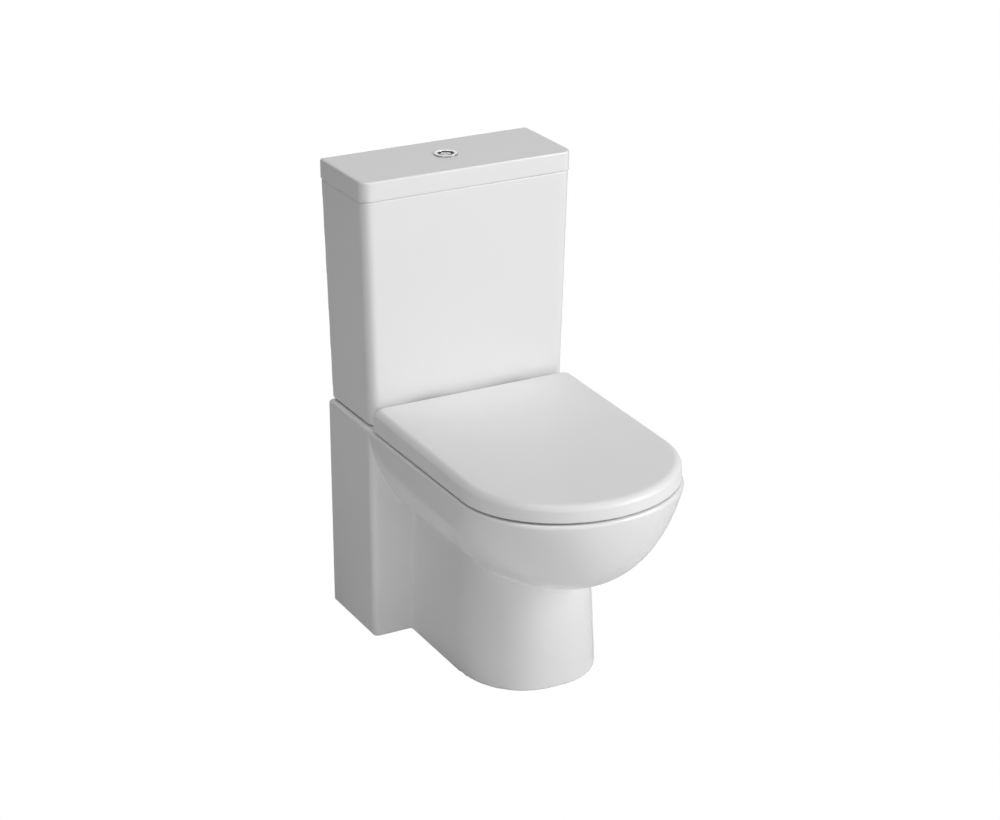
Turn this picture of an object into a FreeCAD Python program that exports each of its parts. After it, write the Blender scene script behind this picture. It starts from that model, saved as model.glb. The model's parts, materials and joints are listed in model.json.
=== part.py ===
import FreeCAD, Part
import math
import os

# Close coupled toilet with a full height shrouded pan, slim cistern, wrap-over seat cover and dual
# flush button.  Sizes are millimetres.  +Z is up, +X is to the right of someone facing the cistern,
# the wall is the plane on the +Y side and the bowl points to -Y.  The origin is on the floor at the
# centre of the footprint.  Places along Y are given as distances off the wall, named "off" or "d".

V = FreeCAD.Vector

# ---- overall form --------------------------------------------------------------------------------
PROJECTION = 662.0              # wall to the front of the bowl
RIM_HEIGHT = 384.0              # floor to the rim and to the shelf under the cistern
CERAMIC = 10.0                  # pan wall thickness
TOP_PLATE = 14.0                # thickness of the rim plate and of the shelf
SPARE = 1.0                     # how far a cutter runs past a face, or a joined form into its neighbour
TOLERANCE = 0.01                # for picking edges by their place
ROUND_STEPS = (0, 30, 60, 90)   # degrees round a rolled edge at which its outlines are taken

# ---- pan: shroud ---------------------------------------------------------------------------------
PAN_HALF_WIDTH = 191.3          # shroud and rim alike
SHROUD_DEPTH = 166.0
SHROUD_EDGE_ROUND = 10.0
SHROUD_EDGE_FLAT = 0.31         # set back of the middle of that rounding, as a share of it
SHROUD_JOIN = 5.0               # how far the pedestal and bowl reach into the shroud's front wall
LUG_WIDTH = 62.0                # floor lugs inside the shroud
LUG_DEPTH = 66.0
LUG_HEIGHT = 22.0
FLOOR_HOLE_R = 6.0
FLOOR_HOLE_SPACING = 300.0
FLOOR_HOLE_OFF = 125.0

# ---- pan: pedestal -------------------------------------------------------------------------------
PEDESTAL_HALF_WIDTH = 120.0
PEDESTAL_FRONT = 469.5
PEDESTAL_CURVE_START = 333.0
PEDESTAL_FLARE = 0.046          # how much the sides lean out per unit of height
PEDESTAL_EXPONENT = 2.26
PEDESTAL_REACH = 32.0           # how far the pedestal runs up into the bowl

# ---- pan: bowl outside ---------------------------------------------------------------------------
BOWL_CURVE_START = 493.0
BOWL_DEPTH = 180.0              # rim to the underside of the bowl
BOWL_FOOT_HALF_WIDTH = 60.0
BOWL_FOOT_FRONT = 469.0
BOWL_FOOT_CURVE_START = 373.0
BOWL_SIDE_POWER = 1.58
BOWL_FRONT_POWER = 2.35
BOWL_EXPONENT = 2.1
BOWL_STEPS = (0, 0.2, 0.4, 0.58, 0.73, 0.85, 0.94, 1.0)
RIM_ROUND = 7.0                 # rounded upper edge of the rim and the shelf
RIM_BAND = 0.5                  # upright band under the rounded edge

# ---- pan: bowl inside ----------------------------------------------------------------------------
MOUTH_SIDE = 61.3               # mouth inside the widest line of the pan
MOUTH_BACK = 268.0
MOUTH_NOSE = 58.0               # mouth behind the front of the bowl
LIP_THICKNESS = 9.0
LIP_DEPTH = 28.0                # how far the lip hangs below the rim plate
BASIN_WALL = 9.0
BASIN_SIDE = 42.0               # basin inside the widest line of the pan
BASIN_BACK = 245.0
BASIN_NOSE = 32.0               # basin behind the front of the bowl
SUMP_HALF_WIDTH = 30.0
SUMP_BACK = 296.0
SUMP_FRONT = 366.0
SUMP_DEPTH = 306.0              # rim to the bottom of the sump
BASIN_WAIST = 0.46              # share of the depth where the basin has narrowed by half
BASIN_STEEPNESS = 4.5
BASIN_EXPONENT = 2.15
BASIN_STEPS = (0, 0.11, 0.24, 0.36, 0.48, 0.6, 0.73, 0.86, 1.0)

# ---- pan: trap and outlet ------------------------------------------------------------------------
TRAP_BORE_R = 27.0
TRAP_WALL = 8.0
TRAP_BEND_R = 45.0
TRAP_DIP_OFF = 270.0
TRAP_CROWN_OFF = 214.0
TRAP_CROWN_DEPTH = 171.0        # rim to the axis of the trap at its highest
OUTLET_DEPTH = 199.0            # rim to the axis of the outlet
TRAP_RUN_OFF = 146.0            # where the passage levels out towards the spigot
SPIGOT_R = 51.0
SPIGOT_BORE_R = 43.0
SPIGOT_END_OFF = 40.0
SPIGOT_LENGTH = 68.0
SPIGOT_CONE = 24.0

# ---- pan: flush inlet ----------------------------------------------------------------------------
FLUSH_OFF = 78.0                # flush valve and button axis, off the wall
CUP_R = 50.0                    # recess in the shelf for the coupling washer
CUP_DEPTH = 22.0
CUP_WALL = 8.0
INLET_R = 31.0
DUCT_HALF_WIDTH = 26.0
DUCT_HEIGHT = 26.0
DUCT_FRONT = 252.0
SEAL_CLEAR = 0.3

# ---- pan: planes along which the one casting is given in blocks ----------------------------------
PARTING_OFF = 190.0             # shroud and outlet behind it, bowl and pedestal in front
RIM_BLOCK = 84.0                # depth of the rim blocks
FOOT_BLOCK_DROP = 8.0           # pedestal and sump blocks below the underside of the bowl
MOUTH_PARTING = 47.5            # rear and front rim blocks reach this far past the ends of the mouth

# ---- seat fixings --------------------------------------------------------------------------------
HINGE_SPACING = 155.0
HINGE_BOLT_OFF = 208.0
HINGE_HOLE_R = 8.0
HINGE_AXIS_OFF = 186.0
HINGE_AXIS_RISE = 29.0          # hinge axis above the rim
PUCK_R = 23.0
PUCK_HEIGHT = 7.0
KNUCKLE_R = 7.0
KNUCKLE_WIDTH = 14.0
KNUCKLE_GAP = 0.4
KNUCKLE_ROOT = 4.0              # how much wider a hinge web is at its root than its barrel
PIN_R = 4.0
RUNNING_FIT = 0.05
SEAT_BOLT_R = 4.0
SEAT_BOLT_HEAD_R = 7.0
SEAT_BOLT_HEAD = 4.0
SEAT_BOLT_LENGTH = 58.0
SEAT_WASHER_R = 15.0
SEAT_WASHER = 4.0
SEAT_NUT_R = 9.0
SEAT_NUT = 12.0
DAMPER_R = 7.0
DAMPER_LENGTH = 30.0

# ---- seat ring -----------------------------------------------------------------------------------
RING_LIFT = 7.0                 # ring underside above the rim, the height of its buffers
RING_THICKNESS = 19.0
RING_SIDE = 8.4                 # ring inside the skirt of the cover
RING_BACK = 212.0
RING_NOSE = 9.5                 # ring behind the front of the cover
RING_MOUTH_SIDE = 66.0          # mouth of the ring inside its outer edge
RING_MOUTH_BACK = 272.0
RING_NOSE_WIDTH = 62.0          # front part of the ring, from its mouth to its nose
RING_ROUND = 7.0
RING_NOTCH_CLEAR = 3.0
RING_ARM_JOIN = 2.0             # hinge arms of the ring reach this far past the notches
BUFFER_R = 9.0
BUFFER_STUB_R = 4.0
BUFFER_STUB = 5.0
RING_PARTING = 44.5             # rear and front blocks reach this far past the ends of the mouth
RING_BUFFER_X = 140.0
RING_BUFFER_OFFS = (300.0, 500.0)

# ---- seat cover ----------------------------------------------------------------------------------
COVER_GAP = 3.2                 # cover skirt above the rim
COVER_HEIGHT = 43.0             # rim to the top of the cover, before it falls to the front
COVER_FALL = 1.23               # fall of the top from the rear edge to the front, in degrees
COVER_CREASE = 32.2             # rim to the crease where the rounded top begins, at the rear
COVER_WALL = 4.0
COVER_CREASE_LAG = 0.25         # the crease inside sits this share of the wall lower
COVER_SIDE = 1.6                # cover inside the widest line of the pan
COVER_BACK = 167.0
COVER_NOSE = 0.5                # cover behind the front of the bowl
COVER_EXPONENT = 1.98
COVER_CORNER = 8.0
COVER_DRAFT = 1.6               # how far the skirt leans in up to the crease
COVER_SHOULDER = 14.0           # width of the rounded shoulder
COVER_BACK_SHARE = 0.35         # width of the shoulder along the rear edge, as a share of it
SHOULDER_START = 25.0           # slope angle at which the shoulder leaves the crease, in degrees
SHOULDER_STEPS = (0, 0.25, 0.5, 0.75, 1.0)
COVER_DOME = 1.6                # rise of the top inside the shoulder
COVER_DOME_SIDE = 1.0           # part of that rise reached half way in
COVER_BACK_WALL = 10.0          # depth of the rear return below the crease of the cover
COVER_SWEEP_CLEAR = 0.6         # rear lower corner of the cover above the rim as it swings
DOME_RUN = 90.0
COVER_NOTCH = 12.0              # depth of the notches over the hinge posts, from the rear edge
COVER_NOTCH_ROOF = 2.0          # material left over those notches
COVER_GAP_DEPTH = 6.0           # depth of the rear opening between the hinges, from the rear edge
POST_HEEL = 3.0                 # rear face of the hinge post behind the hinge axis
COVER_PARTING = 7.0             # rear blocks reach this far past the hinge knuckles
COVER_BUFFER_X = 135.0
COVER_BUFFER_OFFS = (300.0, 500.0)
COVER_BUFFER_R = 7.0

# ---- cistern -------------------------------------------------------------------------------------
CISTERN_GAP = 2.0               # cistern underside above the shelf
CISTERN_HEIGHT = 395.0
CISTERN_TOP_OVERHANG = 2.2      # top of the cistern beyond the widest line of the pan
CISTERN_BASE_SIDE = 8.3         # foot of the cistern inside that line
CISTERN_TOP_DEPTH = 162.0
CISTERN_BASE_DEPTH = 156.0
CISTERN_FRONT_ROUND = 17.0
CISTERN_BACK_ROUND = 3.0
CISTERN_BASE_CHAMFER = 2.0
CISTERN_WALL = 9.0
CISTERN_FLOOR = 12.0
INSIDE_ROUND = 1.0              # rear corners inside the cistern and the lid
VALVE_HOLE_R = 32.0
COUPLING_BOLT_SPACING = 160.0
COUPLING_HOLE_R = 7.0
INLET_X = -125.0
INLET_OFF = 76.0
INLET_HOLE_R = 12.0
SHELF_INLET_HOLE_R = 24.0
WALL_HOLE_SPACING = 220.0
WALL_HOLE_DROP = 45.0           # wall screw holes below the cistern's top edge
WALL_HOLE_R = 3.5

# ---- coupling bolts ------------------------------------------------------------------------------
BOLT_R = 4.0
BOLT_LENGTH = 62.0
BOLT_HEAD_R = 7.5
BOLT_HEAD = 5.0
BOLT_WASHER_R = 13.0
BOLT_WASHER = 3.0
STEEL_WASHER = 1.5
WING_NUT_R = 7.0
WING_NUT = 9.0
WING_SPAN = 34.0
WING_THICKNESS = 3.0
WING_DROP = 6.0

# ---- cistern lid ---------------------------------------------------------------------------------
LID_HEIGHT = 34.0
LID_OVERHANG = 1.7              # lid beyond the sides of the cistern
LID_FRONT_OVERHANG = 1.0        # lid beyond the front of the cistern
LID_FRONT_ROUND = 18.0
LID_BACK_ROUND = 3.0
LID_TOP_ROUND = 2.5
LID_SEAM_ROUND = 1.2
LID_WALL = 9.0
LID_LIP = 9.0
LID_LIP_WALL = 6.0
LID_LIP_CLEAR = 2.0

# ---- flush button --------------------------------------------------------------------------------
BEZEL_R = 20.5
BEZEL_HEIGHT = 2.0
BEZEL_ROUND = 1.2
HOUSING_R = 16.5
HOUSING_BORE_R = 14.2
HOUSING_LENGTH = 46.0
HOUSING_FLOOR = 3.0
LID_HOLE_CLEAR = 0.6
CLAMP_NUT_R = 24.0
CLAMP_NUT = 6.0
CLAMP_NOTCHES = 6
CLAMP_NOTCH_WIDTH = 5.0
CLAMP_NOTCH_DEPTH = 3.0
BUTTON_R = 13.7
BUTTON_SPLIT = 2.4              # the split line sits this far towards the half flush side
BUTTON_SPLIT_GAP = 0.6
BUTTON_THICKNESS = 12.0
BUTTON_RECESS = 1.0             # button face below the top of the bezel
BUTTON_DISH_R = 70.0
ROD_X = 7.4
ROD_R = 2.4
ROD_HOLE_CLEAR = 0.5
FOOT_WIDTH = 8.0
FOOT_THICKNESS = 5.0
BUTTON_DISH = 1.2
ROD_SOCKET = 6.0
FOOT_ABOVE_OVERFLOW = 21.0
SPRING_R = 4.0
SPRING_WIRE_R = 0.5
SPRING_TURNS = 6

# ---- flush valve ---------------------------------------------------------------------------------
TAIL_R = 29.8
TAIL_BORE_R = 25.0
TAIL_BELOW = 28.0               # valve tail below the cistern's underside
THREAD_CLEAR = 0.1
BACK_NUT_R = 40.0
BACK_NUT = 9.0
VALVE_WASHER = 3.0
VALVE_FLANGE_R = 42.0
VALVE_FLANGE = 5.0
CAGE_R = 39.0
CAGE_WALL = 4.0
CAGE_HEIGHT = 66.0
CAGE_RIB_WIDTH = 10.0
CAGE_TOP = 5.0
MAST_WIDTH = 10.0
MAST_EAR = 3.0
MAST_EAR_TOP = 6.0
ROCKER_ROOM = 14.0              # open depth between the ears below the pivot
SEAL_R = 31.0
SEAL_THICKNESS = 4.0
SEAL_REST_GAP = 0.3
OVERFLOW_R = 11.0
OVERFLOW_BORE_R = 9.0
OVERFLOW_GUIDE_CLEAR = 0.8
STEM_FLOAT_R = 28.0
STEM_FLOAT_BASE = 8.0           # above the valve seat
STEM_FLOAT_HEIGHT = 36.0
STEM_FLOAT_WALL = 2.0
COLLAR_R = 17.0
COLLAR = 4.0
ROCKER_PIVOT_HEIGHT = 238.0     # above the cistern floor
ROCKER_ARM = 26.0
ROCKER_THICKNESS = 6.0
ROCKER_WIDTH = 10.0
ROCKER_CLEAR = 0.6
ROCKER_PIN_R = 2.5
ROCKER_TRIP_REACH = 7.0         # inner end of the half flush rocker, from its pivot
TINE_CLEAR = 1.5
TINE_WIDTH = 4.0
TINE_TIP = 2.0                  # tips of the fork, from the overflow tube's axis
OVERFLOW_ABOVE_PIVOT = 20.0

# ---- fill valve ----------------------------------------------------------------------------------
INLET_TAIL_R = 10.4              # threaded tail below the back nut
INLET_SHANK_R = 11.2            # plain shank through the cistern floor and the back nut
INLET_TAIL_BORE_R = 6.0
INLET_TAIL_BELOW = 52.0
INLET_NUT_R = 17.0
INLET_NUT = 8.0
INLET_FLANGE_R = 18.0
INLET_FLANGE = 5.0
INLET_WASHER = 3.0
RISER_R = 12.0
RISER_BORE_R = 8.0
RISER_HEIGHT = 232.0            # above the cistern floor
HEAD_R = 19.0
HEAD_HEIGHT = 22.0
FLOAT_R = 31.0
FLOAT_BORE_CLEAR = 1.3
FLOAT_HEIGHT = 70.0
FLOAT_WALL = 2.0
FLOAT_REST = 122.0              # float underside above the cistern floor when the cistern is empty
STOP_COLLAR = 6.0
LEVER_ARM = 51.0
LINK_X = 26.0                   # link rod from the riser's axis
LEVER_LENGTH = 70.0
LEVER_SLOT_REACH = 14.0
LEVER_EYE_R = 6.0
LEVER_KNUCKLE_R = 5.0
LEVER_EAR = 3.0                 # thickness of the ears that hold the lever pin
LEVER_CLEAR = 0.6
LEVER_SLOT_CLEAR = 1.6          # lever slot beside the link rod
LINK_ROD_ABOVE = 22.0
LEVER_WIDTH = 12.0
LEVER_THICKNESS = 5.0
LEVER_RISE = 8.0                # lever underside above the valve head
LEVER_PIN_R = 2.0
LINK_ROD_R = 2.5
LINK_COLLAR_R = 5.5
LINK_COLLAR = 4.0
SILENCER_R = 6.0
SILENCER_WALL = 2.0
SILENCER_JOIN = 2.0             # how far the silencer reaches into the valve head
SILENCER_OFFSET = 42.0
SILENCER_LENGTH = 200.0

# ---- derived levels and places -------------------------------------------------------------------
PLATE_UNDER = RIM_HEIGHT - TOP_PLATE
BOWL_UNDER = RIM_HEIGHT - BOWL_DEPTH
PEDESTAL_TOP = BOWL_UNDER + PEDESTAL_REACH
SUMP_FLOOR = RIM_HEIGHT - SUMP_DEPTH
TRAP_CROWN_HEIGHT = RIM_HEIGHT - TRAP_CROWN_DEPTH
OUTLET_HEIGHT = RIM_HEIGHT - OUTLET_DEPTH
MOUTH_HALF_WIDTH = PAN_HALF_WIDTH - MOUTH_SIDE
MOUTH_FRONT = PROJECTION - MOUTH_NOSE
BASIN_HALF_WIDTH = PAN_HALF_WIDTH - BASIN_SIDE
BASIN_FRONT = PROJECTION - BASIN_NOSE
COVER_HALF_WIDTH = PAN_HALF_WIDTH - COVER_SIDE
COVER_FRONT = PROJECTION - COVER_NOSE
RING_HALF_WIDTH = COVER_HALF_WIDTH - RING_SIDE
RING_FRONT = COVER_FRONT - RING_NOSE
RING_MOUTH_HALF_WIDTH = RING_HALF_WIDTH - RING_MOUTH_SIDE
RING_MOUTH_FRONT = RING_FRONT - RING_NOSE_WIDTH
CISTERN_TOP_HALF_WIDTH = PAN_HALF_WIDTH + CISTERN_TOP_OVERHANG
CISTERN_BASE_HALF_WIDTH = PAN_HALF_WIDTH - CISTERN_BASE_SIDE
LID_HALF_WIDTH = CISTERN_TOP_HALF_WIDTH + LID_OVERHANG
LID_DEPTH = CISTERN_TOP_DEPTH + LID_FRONT_OVERHANG
LID_LIP_INSET = LID_OVERHANG + CISTERN_WALL + LID_LIP_CLEAR
CISTERN_BASE = RIM_HEIGHT + CISTERN_GAP
CISTERN_TOP = CISTERN_BASE + CISTERN_HEIGHT
TANK_FLOOR = CISTERN_BASE + CISTERN_FLOOR
LID_TOP = CISTERN_TOP + LID_HEIGHT
HINGE_X = HINGE_SPACING / 2
HINGE_AXIS_Z = RIM_HEIGHT + HINGE_AXIS_RISE
COUPLING_X = COUPLING_BOLT_SPACING / 2
CUP_FLOOR = RIM_HEIGHT - CUP_DEPTH
RING_UNDER = RIM_HEIGHT + RING_LIFT
RING_TOP = RING_UNDER + RING_THICKNESS
COVER_UNDER = RIM_HEIGHT + COVER_GAP
COVER_TOP = RIM_HEIGHT + COVER_HEIGHT
COVER_INSIDE_TOP = COVER_TOP - COVER_DOME - COVER_WALL
TRAP_DIP_HEIGHT = SUMP_FLOOR + TRAP_BORE_R
VALVE_SEAT = TANK_FLOOR + VALVE_WASHER + VALVE_FLANGE
ROCKER_Z = TANK_FLOOR + ROCKER_PIVOT_HEIGHT
LEVER_Z = TANK_FLOOR + RISER_HEIGHT + HEAD_HEIGHT + LEVER_RISE
BEZEL_TOP = LID_TOP + BEZEL_HEIGHT
BUTTON_TOP = BEZEL_TOP - BUTTON_RECESS


def bowl_half_width(share):
    """Half width of the bowl outside at a share of its drop below the rim."""
    full = (1 - share ** BOWL_SIDE_POWER) ** 0.5
    return BOWL_FOOT_HALF_WIDTH + (PAN_HALF_WIDTH - BOWL_FOOT_HALF_WIDTH) * full


RIM_BASE = RIM_HEIGHT - RIM_ROUND - RIM_BAND
RIM_SHARE = (RIM_HEIGHT - RIM_BASE) / BOWL_DEPTH
SHROUD_HALF_WIDTH = bowl_half_width(RIM_SHARE)


# ---- small makers --------------------------------------------------------------------------------
def at(x, off, z):
    """Point from its X place, its distance off the wall and its height."""
    return V(x, PROJECTION / 2 - off, z)


def block(x0, x1, off0, off1, z0, z1):
    return Part.makeBox(x1 - x0, off1 - off0, z1 - z0, at(x0, off1, z0))


def rod_z(x, off, z0, z1, r):
    return Part.makeCylinder(r, z1 - z0, at(x, off, z0))


def rod_x(x0, x1, off, z, r):
    return Part.makeCylinder(r, x1 - x0, at(x0, off, z), V(1, 0, 0))


def rod_off(x, off0, off1, z, r):
    return Part.makeCylinder(r, off1 - off0, at(x, off0, z), V(0, -1, 0))


def tube_z(x, off, z0, z1, r_out, r_in):
    return rod_z(x, off, z0, z1, r_out).cut(rod_z(x, off, z0, z1, r_in))


def mirrored(shape):
    return shape.mirror(V(0, 0, 0), V(1, 0, 0))


def both_sides(shape):
    """The piece and its mirror image as a group of two solids."""
    return Part.makeCompound([shape, mirrored(shape)])


def largest_first(shape):
    return sorted(shape.Solids, key=lambda solid: -solid.Volume)


def solid_of(shape):
    """The single solid that a cut or fuse leaves, with its split faces merged."""
    merged = shape.removeSplitter()
    return merged.Solids[0] if len(merged.Solids) == 1 else merged


def hexagon(x, off, z0, z1, r):
    corners = [at(x + r * math.cos(math.radians(60 * k)), off + r * math.sin(math.radians(60 * k)), z0)
               for k in range(7)]
    return Part.Face(Part.makePolygon(corners)).extrude(V(0, 0, z1 - z0))


def front_curve(z, half_width, start, front, exponent):
    """Rounded front from the right side round to the left one, a superellipse half."""
    steps = 16
    points = []
    for k in range(steps + 1):
        angle = math.pi * k / steps
        across = math.copysign(abs(math.cos(angle)) ** (2 / exponent), math.cos(angle))
        along = abs(math.sin(angle)) ** (2 / exponent)
        points.append(at(half_width * across, start + (front - start) * along, z))
    curve = Part.BSplineCurve()
    curve.interpolate(Points=points, InitialTangent=V(0, -1, 0), FinalTangent=V(0, 1, 0),
                      Scale=False)
    return curve.toShape()


def d_outline(z, half_width, back, start, front, exponent, corner=0.0):
    """Plan outline with a straight back, straight sides and a rounded front."""
    a = half_width
    side = Part.makeLine(at(a, back + corner, z), at(a, start, z))
    other = Part.makeLine(at(-a, start, z), at(-a, back + corner, z))
    nose = front_curve(z, a, start, front, exponent)
    rear = Part.makeLine(at(-a + corner, back, z), at(a - corner, back, z))
    if corner == 0:
        return Part.Wire([rear, side, nose, other])
    inset = corner * (1 - math.sqrt(0.5))
    right = Part.Arc(at(a - corner, back, z), at(a - inset, back + inset, z), at(a, back + corner, z))
    left = Part.Arc(at(-a, back + corner, z), at(-a + inset, back + inset, z), at(-a + corner, back, z))
    return Part.Wire([rear, right.toShape(), side, nose, other, left.toShape()])


def oval(z, half_width, back, front, exponent):
    """Closed egg shaped outline, a superellipse about its own middle."""
    steps = 24
    middle = (back + front) / 2
    points = []
    for k in range(steps):
        angle = 2 * math.pi * k / steps
        across = math.copysign(abs(math.cos(angle)) ** (2 / exponent), math.cos(angle))
        along = math.copysign(abs(math.sin(angle)) ** (2 / exponent), math.sin(angle))
        points.append(at(half_width * across, middle + (front - middle) * along, z))
    curve = Part.BSplineCurve()
    curve.interpolate(Points=points, PeriodicFlag=True)
    return Part.Wire([curve.toShape()])


def box_outline(z, half_width, depth, back_round, front_round, inset=0.0, spare=0.0):
    """Rectangular plan outline with rounded corners, from spare behind the wall line."""
    a = half_width - inset
    d0 = inset - spare
    d1 = depth - inset
    corners = [(a, d0, -1, 1, back_round), (a, d1, -1, -1, front_round),
               (-a, d1, 1, -1, front_round), (-a, d0, 1, 1, back_round)]
    edges = []
    stops = []
    for k, (x, d, sx, sd, r) in enumerate(corners):
        along_x = at(x + sx * r, d, z)
        along_d = at(x, d + sd * r, z)
        near = r * (1 - math.sqrt(0.5))
        middle = at(x + sx * near, d + sd * near, z)
        first, last = (along_x, along_d) if k % 2 == 0 else (along_d, along_x)
        stops.append((first, Part.Arc(first, middle, last).toShape(), last))
    for k, (first, arc, last) in enumerate(stops):
        following = stops[(k + 1) % 4][0]
        edges += [arc, Part.makeLine(last, following)]
    return Part.Wire(edges)


def loft(outlines, ruled=False):
    return Part.makeLoft(outlines, True, ruled)


def prism(outline, height):
    return Part.Face(outline).extrude(V(0, 0, height))


def bent_tube(points, bend, radius):
    """Round bar along straight runs joined by tangent arcs."""
    edges = []
    start = points[0]
    for before, corner, after in zip(points, points[1:], points[2:]):
        come = (corner - before).normalize()
        leave = (after - corner).normalize()
        turn = come.getAngle(leave)
        reach = bend * math.tan(turn / 2)
        begin = corner - come * reach
        end = corner + leave * reach
        inward = (leave - come).normalize()
        crown = corner + inward * (bend / math.cos(turn / 2) - bend)
        edges += [Part.makeLine(start, begin), Part.Arc(begin, crown, end).toShape()]
        start = end
    edges.append(Part.makeLine(start, points[-1]))
    path = Part.Wire(edges)
    section = Part.Wire([Part.makeCircle(radius, points[0], points[1] - points[0])])
    return path.makePipeShell([section], True, False)


# ---- pan -----------------------------------------------------------------------------------------
def pan_shroud():
    """Block against the wall with its two front corners rounded."""
    a = SHROUD_HALF_WIDTH
    start = SHROUD_DEPTH - SHROUD_EDGE_ROUND
    near = SHROUD_EDGE_ROUND * SHROUD_EDGE_FLAT
    edges = [Part.makeLine(at(-a, 0, 0), at(a, 0, 0)), Part.makeLine(at(a, 0, 0), at(a, start, 0)),
             Part.Arc(at(a, start, 0), at(a - near, SHROUD_DEPTH - near, 0),
                      at(a - SHROUD_EDGE_ROUND, SHROUD_DEPTH, 0)).toShape(),
             Part.makeLine(at(a - SHROUD_EDGE_ROUND, SHROUD_DEPTH, 0),
                           at(SHROUD_EDGE_ROUND - a, SHROUD_DEPTH, 0)),
             Part.Arc(at(SHROUD_EDGE_ROUND - a, SHROUD_DEPTH, 0),
                      at(near - a, SHROUD_DEPTH - near, 0), at(-a, start, 0)).toShape(),
             Part.makeLine(at(-a, start, 0), at(-a, 0, 0))]
    return prism(Part.Wire(edges), RIM_BASE)


def pedestal_form(inset, low, back):
    """Flared pedestal from the level low up into the bowl, shrunk on all sides by inset."""
    outlines = []
    for z in (low, PEDESTAL_TOP / 2, PEDESTAL_TOP):
        lean = PEDESTAL_FLARE * z + inset
        outlines.append(d_outline(z, PEDESTAL_HALF_WIDTH - lean, back, PEDESTAL_CURVE_START,
                                  PEDESTAL_FRONT - lean, PEDESTAL_EXPONENT))
    return loft(outlines)


def bowl_outline(share, z, inset, back):
    """Outline of the bowl at a share of its drop, shrunk by inset."""
    nose = (1 - share ** BOWL_FRONT_POWER) ** 0.5
    front = BOWL_FOOT_FRONT + (PROJECTION - BOWL_FOOT_FRONT) * nose
    start = BOWL_CURVE_START + (BOWL_FOOT_CURVE_START - BOWL_CURVE_START) * share
    return d_outline(z, bowl_half_width(share) - inset, back, start, front - inset, BOWL_EXPONENT)


def bowl_form(inset, back, top):
    """Rounded bowl from its underside up to the level top."""
    first = (RIM_HEIGHT - top) / BOWL_DEPTH
    shares = [first + (1 - first) * k for k in BOWL_STEPS]
    return loft([bowl_outline(s, RIM_HEIGHT - BOWL_DEPTH * s + inset * (s - first), inset, back)
                 for s in shares])


def rim_edge():
    """Rim and shelf from the wall to the front, with their rounded upper edge."""
    slab = prism(bowl_outline(RIM_SHARE, RIM_BASE, 0, 0), RIM_HEIGHT - RIM_BASE)
    wall_y = at(0, 0, 0).y
    upper = [e for e in slab.Edges if e.BoundBox.ZMin > RIM_HEIGHT - TOLERANCE
             and e.BoundBox.YMin < wall_y - TOLERANCE]
    return slab.makeFillet(RIM_ROUND, upper)


def basin_form(thicken, low):
    """Washdown basin from the sump at the level low up to the rim plate."""
    depth = PLATE_UNDER - SUMP_FLOOR
    outlines = []
    for share in BASIN_STEPS:
        open_share = 1 / (1 + (share / BASIN_WAIST) ** BASIN_STEEPNESS)
        half_width = SUMP_HALF_WIDTH + (BASIN_HALF_WIDTH - SUMP_HALF_WIDTH) * open_share
        back = SUMP_BACK + (BASIN_BACK - SUMP_BACK) * open_share
        front = SUMP_FRONT + (BASIN_FRONT - SUMP_FRONT) * open_share
        z = PLATE_UNDER - depth * share
        z = min(z, PLATE_UNDER - (PLATE_UNDER - low) * share)
        outlines.append(oval(z, half_width + thicken, back - thicken, front + thicken,
                             BASIN_EXPONENT))
    return loft(outlines)


def trap_line(start_off):
    return [at(0, start_off, TRAP_DIP_HEIGHT), at(0, TRAP_DIP_OFF, TRAP_DIP_HEIGHT),
            at(0, TRAP_CROWN_OFF, TRAP_CROWN_HEIGHT), at(0, TRAP_RUN_OFF, OUTLET_HEIGHT),
            at(0, SPIGOT_END_OFF + SPIGOT_LENGTH, OUTLET_HEIGHT)]


def spigot(radius, neck_radius, spare):
    """Outlet spigot with its cone down to the trap passage, spare past its free end."""
    shoulder = SPIGOT_END_OFF + SPIGOT_LENGTH
    barrel = rod_off(0, SPIGOT_END_OFF - spare, shoulder, OUTLET_HEIGHT, radius)
    cone = Part.makeCone(radius, neck_radius - SPARE, SPIGOT_CONE, at(0, shoulder, OUTLET_HEIGHT),
                         V(0, -1, 0))
    return barrel.fuse(cone)


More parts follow.
